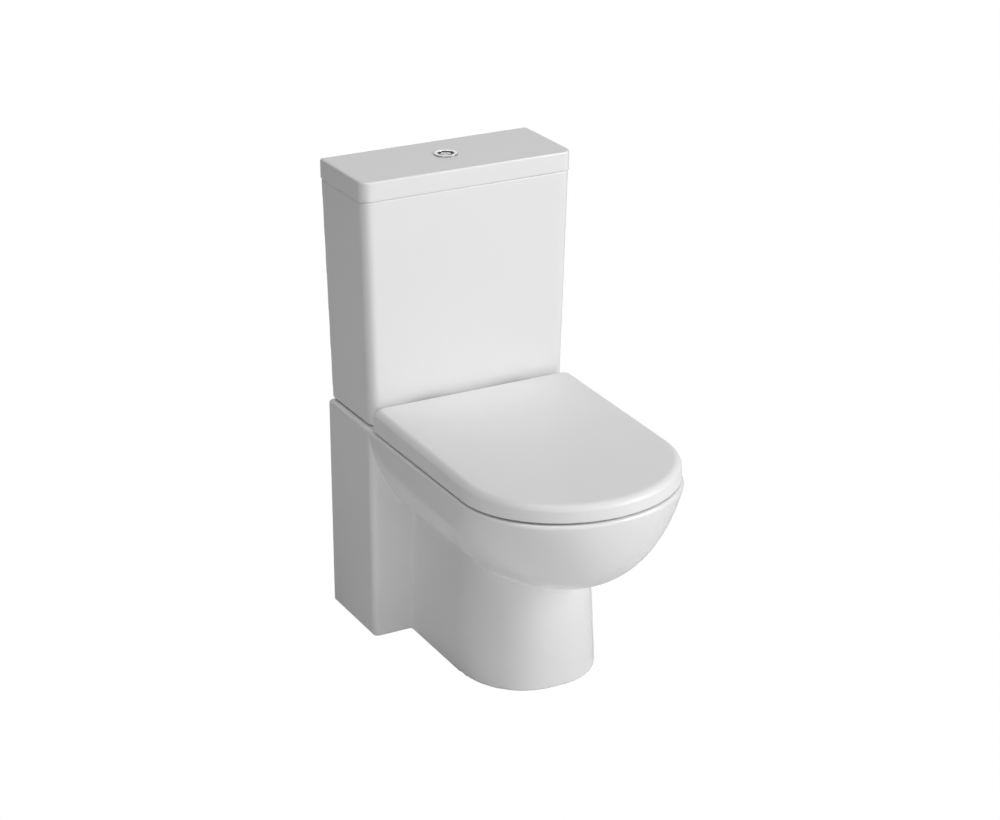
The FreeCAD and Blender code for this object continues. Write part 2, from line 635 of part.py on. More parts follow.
def make_pan():
    joined_back = SHROUD_DEPTH - CERAMIC - SHROUD_JOIN
    outside = pan_shroud().fuse([pedestal_form(0, 0, joined_back), rim_edge(),
                                 bowl_form(0, joined_back, RIM_BASE)])
    shroud_room = block(CERAMIC - SHROUD_HALF_WIDTH, SHROUD_HALF_WIDTH - CERAMIC, -SPARE,
                        SHROUD_DEPTH - CERAMIC, -SPARE, PLATE_UNDER)
    room_back = joined_back - CERAMIC
    rooms = shroud_room.fuse([pedestal_form(CERAMIC, -SPARE, room_back),
                              bowl_form(CERAMIC, room_back, PLATE_UNDER)])
    body = outside.cut(rooms)

    sump_middle = (SUMP_BACK + SUMP_FRONT) / 2
    cup = rod_z(0, FLUSH_OFF, CUP_FLOOR - CUP_WALL, RIM_HEIGHT - SPARE, CUP_R + CUP_WALL)
    duct_top = CUP_FLOOR - CUP_WALL
    duct_low = duct_top - DUCT_HEIGHT
    duct_back = FLUSH_OFF - INLET_R
    duct = block(-DUCT_HALF_WIDTH - CUP_WALL, DUCT_HALF_WIDTH + CUP_WALL, duct_back - CUP_WALL,
                 BASIN_BACK, duct_low - CUP_WALL, CUP_FLOOR)
    funnel = rod_z(0, FLUSH_OFF, duct_low - CUP_WALL, CUP_FLOOR, INLET_R + CUP_WALL)
    lug = block(SHROUD_HALF_WIDTH - CERAMIC - LUG_WIDTH, SHROUD_HALF_WIDTH - SPARE,
                FLOOR_HOLE_OFF - LUG_DEPTH / 2, FLOOR_HOLE_OFF + LUG_DEPTH / 2, 0, LUG_HEIGHT)
    body = body.fuse([basin_form(BASIN_WALL, SUMP_FLOOR - BASIN_WALL), cup, duct, funnel,
                      bent_tube(trap_line(sump_middle), TRAP_BEND_R, TRAP_BORE_R + TRAP_WALL),
                      spigot(SPIGOT_R, TRAP_BORE_R + TRAP_WALL, 0), lug, mirrored(lug)])

    mouth = prism(oval(PLATE_UNDER - SPARE, MOUTH_HALF_WIDTH, MOUTH_BACK, MOUTH_FRONT, BASIN_EXPONENT),
                  TOP_PLATE + 2 * SPARE)
    holes = [rod_z(side * HINGE_X, HINGE_BOLT_OFF, PLATE_UNDER - SPARE, RIM_HEIGHT + SPARE, HINGE_HOLE_R)
             for side in (-1, 1)]
    holes += [rod_z(side * COUPLING_X, FLUSH_OFF, PLATE_UNDER - SPARE, RIM_HEIGHT + SPARE,
                    COUPLING_HOLE_R) for side in (-1, 1)]
    holes += [rod_z(side * FLOOR_HOLE_SPACING / 2, FLOOR_HOLE_OFF, -SPARE, LUG_HEIGHT + SPARE,
                    FLOOR_HOLE_R) for side in (-1, 1)]
    holes.append(rod_z(INLET_X, INLET_OFF, PLATE_UNDER - SPARE, RIM_HEIGHT + SPARE, SHELF_INLET_HOLE_R))
    voids = [basin_form(0, SUMP_FLOOR), mouth,
             bent_tube(trap_line(sump_middle), TRAP_BEND_R, TRAP_BORE_R),
             spigot(SPIGOT_BORE_R, TRAP_BORE_R, SPARE),
             rod_z(0, FLUSH_OFF, CUP_FLOOR, RIM_HEIGHT + SPARE, CUP_R),
             rod_z(0, FLUSH_OFF, duct_low, CUP_FLOOR + SPARE, INLET_R),
             block(-DUCT_HALF_WIDTH, DUCT_HALF_WIDTH, FLUSH_OFF, DUCT_FRONT, duct_low, duct_top)]
    body = body.cut(voids[0].fuse(voids[1:] + holes))

    lip_low = PLATE_UNDER - LIP_DEPTH
    lip_outer = prism(oval(lip_low, MOUTH_HALF_WIDTH + LIP_THICKNESS, MOUTH_BACK - LIP_THICKNESS,
                           MOUTH_FRONT + LIP_THICKNESS, BASIN_EXPONENT), LIP_DEPTH + SPARE)
    lip_inner = prism(oval(lip_low - SPARE, MOUTH_HALF_WIDTH, MOUTH_BACK, MOUTH_FRONT, BASIN_EXPONENT),
                      LIP_DEPTH + 2 * SPARE + SPARE)
    return solid_of(body.fuse(lip_outer.cut(lip_inner)))


def pan_blocks(casting):
    """The one casting in blocks of simple shape, which meet along flat planes."""
    side = PAN_HALF_WIDTH + SPARE
    front = PROJECTION + SPARE
    above = RIM_HEIGHT + SPARE
    high = RIM_HEIGHT - RIM_BLOCK
    low = BOWL_UNDER - FOOT_BLOCK_DROP
    mouth_back = MOUTH_BACK + MOUTH_PARTING
    mouth_front = MOUTH_FRONT - MOUTH_PARTING

    def within(off0, off1, z0, z1):
        return largest_first(casting.common(block(-side, side, off0, off1, z0, z1)))

    shroud, outlet = within(-SPARE, PARTING_OFF, -SPARE, above)
    bowl, crown = within(PARTING_OFF, front, low, high)
    foot, sump = within(PARTING_OFF, front, -SPARE, low)
    return {
        "pan_rim_rear": within(PARTING_OFF, mouth_back, high, above)[0],
        "pan_rim_sides": Part.makeCompound(within(mouth_back, mouth_front, high, above)),
        "pan_rim_front": within(mouth_front, front, high, above)[0],
        "pan_bowl": bowl,
        "pan_foot": foot,
        "pan_trap": solid_of(sump.fuse(crown)),
        "pan_outlet": outlet,
        "pan_shroud": shroud,
    }


def coupling_seal():
    """Stepped doughnut between the shelf recess and the cistern, with a pocket for the back nut."""
    pocket = CISTERN_BASE - BACK_NUT - SEAL_CLEAR
    ring = tube_z(0, FLUSH_OFF, CUP_FLOOR, CISTERN_BASE, CUP_R - SEAL_CLEAR, TAIL_R + SEAL_CLEAR)
    return ring.cut(rod_z(0, FLUSH_OFF, pocket, CISTERN_BASE + SPARE, BACK_NUT_R + SEAL_CLEAR))


# ---- cistern -------------------------------------------------------------------------------------
def cistern_outline(z, inset, spare=0.0):
    """Plan outline of the cistern at a height, its sides leaning out towards the top."""
    rise = (z - CISTERN_BASE) / CISTERN_HEIGHT
    half_width = CISTERN_BASE_HALF_WIDTH + (CISTERN_TOP_HALF_WIDTH - CISTERN_BASE_HALF_WIDTH) * rise
    depth = CISTERN_BASE_DEPTH + (CISTERN_TOP_DEPTH - CISTERN_BASE_DEPTH) * rise
    back_round = max(CISTERN_BACK_ROUND - inset, INSIDE_ROUND)
    return box_outline(z, half_width, depth, back_round, CISTERN_FRONT_ROUND - inset, inset, spare)


def make_cistern():
    chamfered = CISTERN_BASE + CISTERN_BASE_CHAMFER
    foot = loft([cistern_outline(CISTERN_BASE, CISTERN_BASE_CHAMFER / 2, SPARE),
                 cistern_outline(chamfered, 0, SPARE)], True)
    shell = loft([cistern_outline(chamfered, 0, SPARE), cistern_outline(CISTERN_TOP, 0, SPARE)], True)
    behind = block(-CISTERN_TOP_HALF_WIDTH, CISTERN_TOP_HALF_WIDTH, -2 * SPARE, 0,
                   CISTERN_BASE - SPARE, CISTERN_TOP + SPARE)
    room = loft([cistern_outline(TANK_FLOOR, CISTERN_WALL),
                 cistern_outline(CISTERN_TOP + SPARE, CISTERN_WALL)], True)
    low = CISTERN_BASE - SPARE
    high = TANK_FLOOR + SPARE
    holes = [rod_z(0, FLUSH_OFF, low, high, VALVE_HOLE_R),
             rod_z(INLET_X, INLET_OFF, low, high, INLET_HOLE_R)]
    for side in (-1, 1):
        holes.append(rod_z(side * COUPLING_X, FLUSH_OFF, low, high, COUPLING_HOLE_R))
        holes.append(rod_off(side * WALL_HOLE_SPACING / 2, -SPARE, CISTERN_WALL + SPARE,
                             CISTERN_TOP - WALL_HOLE_DROP, WALL_HOLE_R))
    return solid_of(foot.fuse(shell).cut(room.fuse(holes)).cut(behind))


def make_cistern_lid():
    slab = prism(box_outline(CISTERN_TOP, LID_HALF_WIDTH, LID_DEPTH, LID_BACK_ROUND,
                             LID_FRONT_ROUND), LID_HEIGHT)
    upper = [e for e in slab.Edges if e.BoundBox.ZMin > LID_TOP - TOLERANCE]
    slab = slab.makeFillet(LID_TOP_ROUND, upper)
    lower = [e for e in slab.Edges if e.BoundBox.ZMax < CISTERN_TOP + TOLERANCE]
    slab = slab.makeFillet(LID_SEAM_ROUND, lower)
    room = prism(box_outline(CISTERN_TOP - SPARE, LID_HALF_WIDTH, LID_DEPTH, INSIDE_ROUND,
                             LID_FRONT_ROUND - LID_WALL, LID_LIP_INSET + LID_LIP_WALL),
                 LID_HEIGHT - LID_WALL + SPARE)
    lip = prism(box_outline(CISTERN_TOP - LID_LIP, LID_HALF_WIDTH, LID_DEPTH, INSIDE_ROUND,
                            LID_FRONT_ROUND - LID_WALL, LID_LIP_INSET), LID_LIP + LID_WALL)
    hole = rod_z(0, FLUSH_OFF, CISTERN_TOP, LID_TOP + SPARE, HOUSING_R + LID_HOLE_CLEAR)
    room_below = prism(box_outline(CISTERN_TOP - LID_LIP - SPARE, LID_HALF_WIDTH, LID_DEPTH,
                                   INSIDE_ROUND, LID_FRONT_ROUND - LID_WALL,
                                   LID_LIP_INSET + LID_LIP_WALL),
                       LID_HEIGHT - LID_WALL + LID_LIP + SPARE)
    return solid_of(slab.cut(room).fuse(lip.cut(room_below)).cut(hole))


def coupling_bolt():
    head_z = TANK_FLOOR + BOLT_WASHER
    head = hexagon(COUPLING_X, FLUSH_OFF, head_z, head_z + BOLT_HEAD, BOLT_HEAD_R)
    return solid_of(head.fuse(rod_z(COUPLING_X, FLUSH_OFF, head_z - BOLT_LENGTH, head_z, BOLT_R)))


def bolt_seal():
    return tube_z(COUPLING_X, FLUSH_OFF, TANK_FLOOR, TANK_FLOOR + BOLT_WASHER, BOLT_WASHER_R,
                  BOLT_R + THREAD_CLEAR)


def shelf_washer():
    return tube_z(COUPLING_X, FLUSH_OFF, PLATE_UNDER - STEEL_WASHER, PLATE_UNDER, BOLT_WASHER_R,
                  BOLT_R + THREAD_CLEAR)


def wing_nut():
    top = PLATE_UNDER - STEEL_WASHER
    boss = rod_z(COUPLING_X, FLUSH_OFF, top - WING_NUT, top, WING_NUT_R)
    wings = block(COUPLING_X - WING_SPAN / 2, COUPLING_X + WING_SPAN / 2, FLUSH_OFF - WING_THICKNESS / 2,
                  FLUSH_OFF + WING_THICKNESS / 2, top - WING_NUT - WING_DROP, top - WING_NUT / 2)
    bore = rod_z(COUPLING_X, FLUSH_OFF, top - WING_NUT - WING_DROP - SPARE, top + SPARE,
                 BOLT_R + THREAD_CLEAR)
    return solid_of(boss.fuse(wings).cut(bore))


# ---- flush button --------------------------------------------------------------------------------
def button_housing():
    """Bezel with its threaded tube through the lid and a floor that carries the springs."""
    low = LID_TOP - HOUSING_LENGTH
    bezel = rod_z(0, FLUSH_OFF, LID_TOP, BEZEL_TOP, BEZEL_R)
    rim = [e for e in bezel.Edges if e.BoundBox.ZMin > BEZEL_TOP - TOLERANCE]
    bezel = bezel.makeFillet(BEZEL_ROUND, rim)
    tube = rod_z(0, FLUSH_OFF, low, LID_TOP, HOUSING_R)
    bore = rod_z(0, FLUSH_OFF, low + HOUSING_FLOOR, BEZEL_TOP + SPARE, HOUSING_BORE_R)
    holes = [rod_z(side * ROD_X, FLUSH_OFF, low - SPARE, low + HOUSING_FLOOR + SPARE,
                   ROD_R + ROD_HOLE_CLEAR) for side in (-1, 1)]
    return solid_of(bezel.fuse(tube).cut(bore.fuse(holes)))


def clamp_nut():
    """Ring nut that holds the housing under the lid, notched for a key."""
    top = LID_TOP - LID_WALL
    nut = tube_z(0, FLUSH_OFF, top - CLAMP_NUT, top, CLAMP_NUT_R, HOUSING_R + THREAD_CLEAR)
    half = CLAMP_NOTCH_WIDTH / 2
    edge = FLUSH_OFF - CLAMP_NUT_R
    notches = []
    for k in range(CLAMP_NOTCHES):
        notch = block(-half, half, edge - SPARE, edge + CLAMP_NOTCH_DEPTH, top - CLAMP_NUT - SPARE,
                      top + SPARE)
        notch.rotate(at(0, FLUSH_OFF, 0), V(0, 0, 1), 360 / CLAMP_NOTCHES * k)
        notches.append(notch)
    return solid_of(nut.cut(notches))


def half_button(side):
    """One of the two dished push faces: side -1 is the full flush, +1 the smaller half flush."""
    disc = rod_z(0, FLUSH_OFF, BUTTON_TOP - BUTTON_THICKNESS, BUTTON_TOP, BUTTON_R)
    edge = BUTTON_SPLIT + side * BUTTON_SPLIT_GAP / 2
    x0, x1 = (edge, BUTTON_R + SPARE) if side > 0 else (-BUTTON_R - SPARE, edge)
    keep = block(x0, x1, FLUSH_OFF - BUTTON_R - SPARE, FLUSH_OFF + BUTTON_R + SPARE,
                 BUTTON_TOP - BUTTON_THICKNESS - SPARE, BUTTON_TOP + SPARE)
    dish = Part.makeSphere(BUTTON_DISH_R, at(0, FLUSH_OFF, BUTTON_TOP + BUTTON_DISH_R - BUTTON_DISH))
    socket = rod_z(side * ROD_X, FLUSH_OFF, BUTTON_TOP - BUTTON_THICKNESS - SPARE,
                   BUTTON_TOP - BUTTON_THICKNESS + ROD_SOCKET, ROD_R)
    return solid_of(disc.common(keep).cut(dish).cut(socket))


def push_rod(side):
    """Rod under a button with the offset foot that reaches over its rocker."""
    low = ROCKER_Z + ROCKER_THICKNESS / 2 + ROCKER_CLEAR
    reach = 2 * ROCKER_ARM + FOOT_WIDTH / 2
    x0, x1 = sorted((side * (ROD_X - ROD_R), side * reach))
    arm_z = ROCKER_Z + OVERFLOW_ABOVE_PIVOT + FOOT_ABOVE_OVERFLOW
    arm = block(x0, x1, FLUSH_OFF - FOOT_WIDTH / 2, FLUSH_OFF + FOOT_WIDTH / 2, arm_z,
                arm_z + FOOT_THICKNESS)
    x0, x1 = sorted((side * (reach - FOOT_WIDTH), side * reach))
    foot = block(x0, x1, FLUSH_OFF - FOOT_WIDTH / 2, FLUSH_OFF + FOOT_WIDTH / 2, low,
                 arm_z + FOOT_THICKNESS)
    above = rod_z(side * ROD_X, FLUSH_OFF, arm_z, BUTTON_TOP - BUTTON_THICKNESS + ROD_SOCKET, ROD_R)
    return solid_of(above.fuse([arm, foot]))


def button_spring(side):
    """Return spring round a push rod, between the housing floor and the button."""
    low = LID_TOP - HOUSING_LENGTH + HOUSING_FLOOR + SPRING_WIRE_R
    height = BUTTON_TOP - BUTTON_THICKNESS - SPRING_WIRE_R - low
    helix = Part.makeHelix(height / SPRING_TURNS, height, SPRING_R)
    section = Part.Wire([Part.makeCircle(SPRING_WIRE_R, V(SPRING_R, 0, 0), V(0, 1, 0))])
    coil = Part.Wire(helix.Edges).makePipeShell([section], True, True)
    coil.translate(at(side * ROD_X, FLUSH_OFF, low))
    return coil


# ---- flush valve ---------------------------------------------------------------------------------
def valve_body():
    """Threaded tail, valve seat, cage and the two masts that carry the rockers."""
    flange_low = TANK_FLOOR + VALVE_WASHER
    cage_top = VALVE_SEAT + CAGE_HEIGHT
    tail = rod_z(0, FLUSH_OFF, CISTERN_BASE - TAIL_BELOW, flange_low, TAIL_R)
    flange = rod_z(0, FLUSH_OFF, flange_low, VALVE_SEAT, VALVE_FLANGE_R)
    body = tail.fuse(flange).cut(rod_z(0, FLUSH_OFF, CISTERN_BASE - TAIL_BELOW - SPARE,
                                       VALVE_SEAT + SPARE, TAIL_BORE_R))
    wall = tube_z(0, FLUSH_OFF, VALVE_SEAT, cage_top, CAGE_R, CAGE_R - CAGE_WALL)
    half_rib = CAGE_RIB_WIDTH / 2
    ribs = block(-CAGE_R, CAGE_R, FLUSH_OFF - half_rib, FLUSH_OFF + half_rib, VALVE_SEAT,
                 cage_top).fuse(block(-half_rib, half_rib, FLUSH_OFF - CAGE_R, FLUSH_OFF + CAGE_R,
                                      VALVE_SEAT, cage_top))
    cap = rod_z(0, FLUSH_OFF, cage_top - CAGE_TOP, cage_top, CAGE_R)
    masts = []
    for side in (-1, 1):
        x = side * ROCKER_ARM
        half = MAST_WIDTH / 2
        ear = ROCKER_WIDTH / 2 + ROCKER_CLEAR
        column = block(x - half, x + half, FLUSH_OFF - ear - MAST_EAR, FLUSH_OFF + ear + MAST_EAR,
                       cage_top - CAGE_TOP, ROCKER_Z + MAST_EAR_TOP)
        slot = block(x - half - SPARE, x + half + SPARE, FLUSH_OFF - ear, FLUSH_OFF + ear,
                     ROCKER_Z - ROCKER_ROOM, ROCKER_Z + MAST_EAR_TOP + SPARE)
        pivot = rod_off(x, FLUSH_OFF - ear - MAST_EAR - SPARE, FLUSH_OFF + ear + MAST_EAR + SPARE,
                        ROCKER_Z, ROCKER_PIN_R)
        masts.append(column.cut(slot.fuse(pivot)))
    guide = rod_z(0, FLUSH_OFF, cage_top - CAGE_TOP - SPARE, cage_top + SPARE,
                  OVERFLOW_R + OVERFLOW_GUIDE_CLEAR)
    return solid_of(body.fuse([wall.common(ribs), cap] + masts).cut(guide))


def rocker_pins():
    reach = ROCKER_WIDTH / 2 + ROCKER_CLEAR + MAST_EAR
    return both_sides(rod_off(ROCKER_ARM, FLUSH_OFF - reach, FLUSH_OFF + reach, ROCKER_Z,
                              ROCKER_PIN_R))


def valve_washer():
    return tube_z(0, FLUSH_OFF, TANK_FLOOR, TANK_FLOOR + VALVE_WASHER, VALVE_FLANGE_R,
                  TAIL_R + THREAD_CLEAR)


def valve_back_nut():
    nut = hexagon(0, FLUSH_OFF, CISTERN_BASE - BACK_NUT, CISTERN_BASE, BACK_NUT_R)
    return nut.cut(rod_z(0, FLUSH_OFF, CISTERN_BASE - BACK_NUT - SPARE, CISTERN_BASE + SPARE,
                         TAIL_R + THREAD_CLEAR))


def overflow_tube():
    """Overflow tube with the collar that the full flush rocker lifts."""
    low = VALVE_SEAT + SEAL_REST_GAP
    top = ROCKER_Z + OVERFLOW_ABOVE_PIVOT
    collar_z = ROCKER_Z + ROCKER_THICKNESS / 2 + ROCKER_CLEAR
    tube = rod_z(0, FLUSH_OFF, low, top, OVERFLOW_R)
    collar = rod_z(0, FLUSH_OFF, collar_z, collar_z + COLLAR, COLLAR_R)
    bore = rod_z(0, FLUSH_OFF, low - SPARE, top + SPARE, OVERFLOW_BORE_R)
    return solid_of(tube.fuse(collar).cut(bore))


def flush_seal():
    low = VALVE_SEAT + SEAL_REST_GAP
    return tube_z(0, FLUSH_OFF, low, low + SEAL_THICKNESS, SEAL_R, OVERFLOW_R)


def stem_float():
    low = VALVE_SEAT + STEM_FLOAT_BASE
    cup = tube_z(0, FLUSH_OFF, low, low + STEM_FLOAT_HEIGHT, STEM_FLOAT_R, OVERFLOW_R)
    room = tube_z(0, FLUSH_OFF, low - SPARE, low + STEM_FLOAT_HEIGHT - STEM_FLOAT_WALL,
                  STEM_FLOAT_R - STEM_FLOAT_WALL, OVERFLOW_R + STEM_FLOAT_WALL)
    return solid_of(cup.cut(room))


def rocker(side, forked):
    """Rocker on its mast: side -1 lifts the overflow tube with a fork, side +1 is the half trip."""
    half = ROCKER_THICKNESS / 2
    pivot = ROCKER_ARM
    x0 = COLLAR_R - TINE_WIDTH if forked else pivot - ROCKER_TRIP_REACH
    x1 = 2 * ROCKER_ARM + FOOT_WIDTH / 2
    bar = block(x0, x1, FLUSH_OFF - ROCKER_WIDTH / 2, FLUSH_OFF + ROCKER_WIDTH / 2,
                ROCKER_Z - half, ROCKER_Z + half)
    pieces = [bar]
    if forked:
        tine_in = OVERFLOW_R + TINE_CLEAR
        yoke = block(COLLAR_R - TINE_WIDTH, COLLAR_R, FLUSH_OFF - tine_in - TINE_WIDTH,
                     FLUSH_OFF + tine_in + TINE_WIDTH, ROCKER_Z - half, ROCKER_Z + half)
        pieces = [bar, yoke]
        for way in (-1, 1):
            d0, d1 = sorted((FLUSH_OFF + way * tine_in, FLUSH_OFF + way * (tine_in + TINE_WIDTH)))
            pieces.append(block(TINE_TIP, COLLAR_R, d0, d1, ROCKER_Z - half, ROCKER_Z + half))
    piece = pieces[0].fuse(pieces[1:]) if len(pieces) > 1 else bar
    bore = rod_off(pivot, FLUSH_OFF - ROCKER_WIDTH, FLUSH_OFF + ROCKER_WIDTH, ROCKER_Z,
                   ROCKER_PIN_R + RUNNING_FIT)
    piece = solid_of(piece.cut(bore))
    return mirrored(piece) if side < 0 else piece


# ---- fill valve ----------------------------------------------------------------------------------
def fill_valve_body():
    flange_low = TANK_FLOOR + INLET_WASHER
    top = TANK_FLOOR + RISER_HEIGHT
    low = CISTERN_BASE - INLET_TAIL_BELOW
    tail = rod_z(INLET_X, INLET_OFF, low, flange_low, INLET_TAIL_R)
    shank = rod_z(INLET_X, INLET_OFF, CISTERN_BASE - INLET_NUT, flange_low, INLET_SHANK_R)
    flange = hexagon(INLET_X, INLET_OFF, flange_low, flange_low + INLET_FLANGE, INLET_FLANGE_R)
    riser = rod_z(INLET_X, INLET_OFF, flange_low, top, RISER_R)
    stop_z = TANK_FLOOR + FLOAT_REST
    stop = rod_z(INLET_X, INLET_OFF, stop_z - STOP_COLLAR, stop_z, RISER_R + STOP_COLLAR)
    bore = rod_z(INLET_X, INLET_OFF, low - SPARE, flange_low, INLET_TAIL_BORE_R)
    chamber = rod_z(INLET_X, INLET_OFF, flange_low, top + SPARE, RISER_BORE_R)
    return solid_of(tail.fuse([shank, flange, riser, stop]).cut(bore.fuse(chamber)))


def fill_valve_head():
    """Valve head on the riser with the ears that hold the lever pin."""
    low = TANK_FLOOR + RISER_HEIGHT
    top = low + HEAD_HEIGHT
    ear_in = LEVER_WIDTH / 2 + LEVER_CLEAR
    ear_out = ear_in + LEVER_EAR
    pivot_x = INLET_X + LINK_X - LEVER_ARM
    head = rod_z(INLET_X, INLET_OFF, low, top, HEAD_R)
    bracket = block(pivot_x - LEVER_EYE_R, INLET_X, INLET_OFF - ear_out, INLET_OFF + ear_out,
                    low + HEAD_HEIGHT / 2, top)
    ears = block(pivot_x - LEVER_EYE_R, pivot_x + LEVER_EYE_R, INLET_OFF - ear_out,
                 INLET_OFF + ear_out, top - SPARE, LEVER_Z + LEVER_EYE_R)
    room = block(pivot_x - LEVER_EYE_R - SPARE, pivot_x + LEVER_EYE_R + SPARE, INLET_OFF - ear_in,
                 INLET_OFF + ear_in, top, LEVER_Z + LEVER_EYE_R + SPARE)
    pin = rod_off(pivot_x, INLET_OFF - ear_out - SPARE, INLET_OFF + ear_out + SPARE, LEVER_Z,
                  LEVER_PIN_R)
    return solid_of(head.fuse([bracket, ears]).cut(room.fuse(pin)))


def lever_pin():
    reach = LEVER_WIDTH / 2 + LEVER_CLEAR + LEVER_EAR
    return rod_off(INLET_X + LINK_X - LEVER_ARM, INLET_OFF - reach, INLET_OFF + reach, LEVER_Z,
                   LEVER_PIN_R)


def lever_arm():
    """Lever over the valve head, slotted where the float's link rod passes through it."""
    pivot_x = INLET_X + LINK_X - LEVER_ARM
    half = LEVER_THICKNESS / 2
    bar = block(pivot_x, pivot_x + LEVER_LENGTH, INLET_OFF - LEVER_WIDTH / 2,
                INLET_OFF + LEVER_WIDTH / 2, LEVER_Z - half, LEVER_Z + half)
    eye = rod_off(pivot_x, INLET_OFF - LEVER_WIDTH / 2, INLET_OFF + LEVER_WIDTH / 2, LEVER_Z,
                  LEVER_KNUCKLE_R)
    slot_half = LINK_ROD_R + LEVER_SLOT_CLEAR
    slot = block(pivot_x + LEVER_ARM - 2 * slot_half, pivot_x + LEVER_ARM + LEVER_SLOT_REACH,
                 INLET_OFF - slot_half, INLET_OFF + slot_half, LEVER_Z - half - SPARE,
                 LEVER_Z + half + SPARE)
    bore = rod_off(pivot_x, INLET_OFF - LEVER_WIDTH, INLET_OFF + LEVER_WIDTH, LEVER_Z,
                   LEVER_PIN_R + RUNNING_FIT)
    return solid_of(bar.fuse(eye).cut(slot.fuse(bore)))


def float_cup():
    low = TANK_FLOOR + FLOAT_REST
    cup = tube_z(INLET_X, INLET_OFF, low, low + FLOAT_HEIGHT, FLOAT_R, RISER_R + FLOAT_BORE_CLEAR)
    room = tube_z(INLET_X, INLET_OFF, low - SPARE, low + FLOAT_HEIGHT - FLOAT_WALL,
                  FLOAT_R - FLOAT_WALL, RISER_R + FLOAT_BORE_CLEAR + FLOAT_WALL)
    floor = tube_z(INLET_X, INLET_OFF, low, low + FLOAT_WALL, FLOAT_R,
                   RISER_R + FLOAT_BORE_CLEAR)
    return solid_of(cup.cut(room).fuse(floor))


def link_rod():
    """Adjusting rod from the float up through the lever, with the collar that pushes the lever."""
    low = TANK_FLOOR + FLOAT_REST + FLOAT_HEIGHT
    x = INLET_X + LINK_X
    collar_top = LEVER_Z - LEVER_THICKNESS / 2 - LEVER_CLEAR
    rod = rod_z(x, INLET_OFF, low, LEVER_Z + LINK_ROD_ABOVE, LINK_ROD_R)
    collar = rod_z(x, INLET_OFF, collar_top - LINK_COLLAR, collar_top, LINK_COLLAR_R)
    return solid_of(rod.fuse(collar))


def silencer_tube():
    z = TANK_FLOOR + RISER_HEIGHT + HEAD_HEIGHT / 2
    off = INLET_OFF + SILENCER_OFFSET
    down = rod_z(INLET_X, off, z - SILENCER_LENGTH, z, SILENCER_R)
    crown = Part.makeSphere(SILENCER_R, at(INLET_X, off, z))
    across = rod_off(INLET_X, INLET_OFF + HEAD_R - SILENCER_JOIN, off, z, SILENCER_R)
    bore = rod_z(INLET_X, off, z - SILENCER_LENGTH - SPARE, z, SILENCER_R - SILENCER_WALL)
    return solid_of(down.fuse([crown, across]).cut(bore.fuse(
        rod_z(INLET_X, INLET_OFF, z - HEAD_HEIGHT, z + HEAD_HEIGHT, HEAD_R))))


def inlet_washer():
    return tube_z(INLET_X, INLET_OFF, TANK_FLOOR, TANK_FLOOR + INLET_WASHER, INLET_FLANGE_R,
                  INLET_SHANK_R + THREAD_CLEAR)


def inlet_back_nut():
    nut = hexagon(INLET_X, INLET_OFF, CISTERN_BASE - INLET_NUT, CISTERN_BASE, INLET_NUT_R)
    return nut.cut(rod_z(INLET_X, INLET_OFF, CISTERN_BASE - INLET_NUT - SPARE, CISTERN_BASE + SPARE,
                         INLET_SHANK_R + THREAD_CLEAR))


# ---- seat ring -----------------------------------------------------------------------------------
def ring_outline(z, inset):
    return d_outline(z, RING_HALF_WIDTH - inset, RING_BACK + inset, BOWL_CURVE_START,
                     RING_FRONT - inset, COVER_EXPONENT, COVER_CORNER)


def ring_mouth(z, spread):
    return oval(z, RING_MOUTH_HALF_WIDTH + spread, RING_MOUTH_BACK - spread,
                RING_MOUTH_FRONT + spread, BASIN_EXPONENT)


def knuckle(x0, x1, points):
    """Barrel round the hinge axis from x0 to x1 with a web of the given off and height points."""
    corners = [at(x0, off, z) for off, z in points + points[:1]]
    web = Part.Face(Part.makePolygon(corners)).extrude(V(x1 - x0, 0, 0))
    return rod_x(x0, x1, HINGE_AXIS_OFF, HINGE_AXIS_Z, KNUCKLE_R).fuse(web)


def pin_bore(clear):
    reach = HINGE_X + 2 * KNUCKLE_WIDTH
    return rod_x(-reach, reach, HINGE_AXIS_OFF, HINGE_AXIS_Z, PIN_R + clear)


def make_seat_ring():
    shoulder = RING_TOP - RING_ROUND
    body = prism(ring_outline(RING_UNDER, 0), shoulder - RING_UNDER)
    rounded = []
    flare = []
    for degrees in ROUND_STEPS:
        angle = math.radians(degrees)
        inset = RING_ROUND * (1 - math.cos(angle))
        rounded.append(ring_outline(shoulder + RING_ROUND * math.sin(angle), inset))
        flare.append(ring_mouth(shoulder + RING_ROUND * math.sin(angle), inset))
    body = body.fuse(loft(rounded))
    mouth = prism(ring_mouth(RING_UNDER - SPARE, 0), RING_THICKNESS + 2 * SPARE)
    body = body.cut(mouth).cut(loft(flare))
    notch_half = PUCK_R + RING_NOTCH_CLEAR
    x0 = HINGE_X + KNUCKLE_WIDTH / 2 + KNUCKLE_GAP
    for side in (-1, 1):
        notch = block(side * HINGE_X - notch_half, side * HINGE_X + notch_half, RING_BACK - SPARE,
                      HINGE_BOLT_OFF + notch_half, RING_UNDER - SPARE, RING_TOP + SPARE)
        body = body.cut(notch)
    deep = HINGE_BOLT_OFF + notch_half + RING_ARM_JOIN
    arm = knuckle(x0, x0 + KNUCKLE_WIDTH,
                  [(HINGE_AXIS_OFF - KNUCKLE_R / 2, HINGE_AXIS_Z - KNUCKLE_R / 2),
                   (deep, RING_UNDER + KNUCKLE_ROOT), (deep, RING_TOP - SPARE),
                   (HINGE_AXIS_OFF, HINGE_AXIS_Z + KNUCKLE_R)])
    body = body.fuse([arm, mirrored(arm)])
    sockets = [rod_z(side * RING_BUFFER_X, off, RING_UNDER - SPARE, RING_UNDER + BUFFER_STUB,
                     BUFFER_STUB_R) for side in (-1, 1) for off in RING_BUFFER_OFFS]
    return solid_of(body.cut(pin_bore(0).fuse(sockets)))


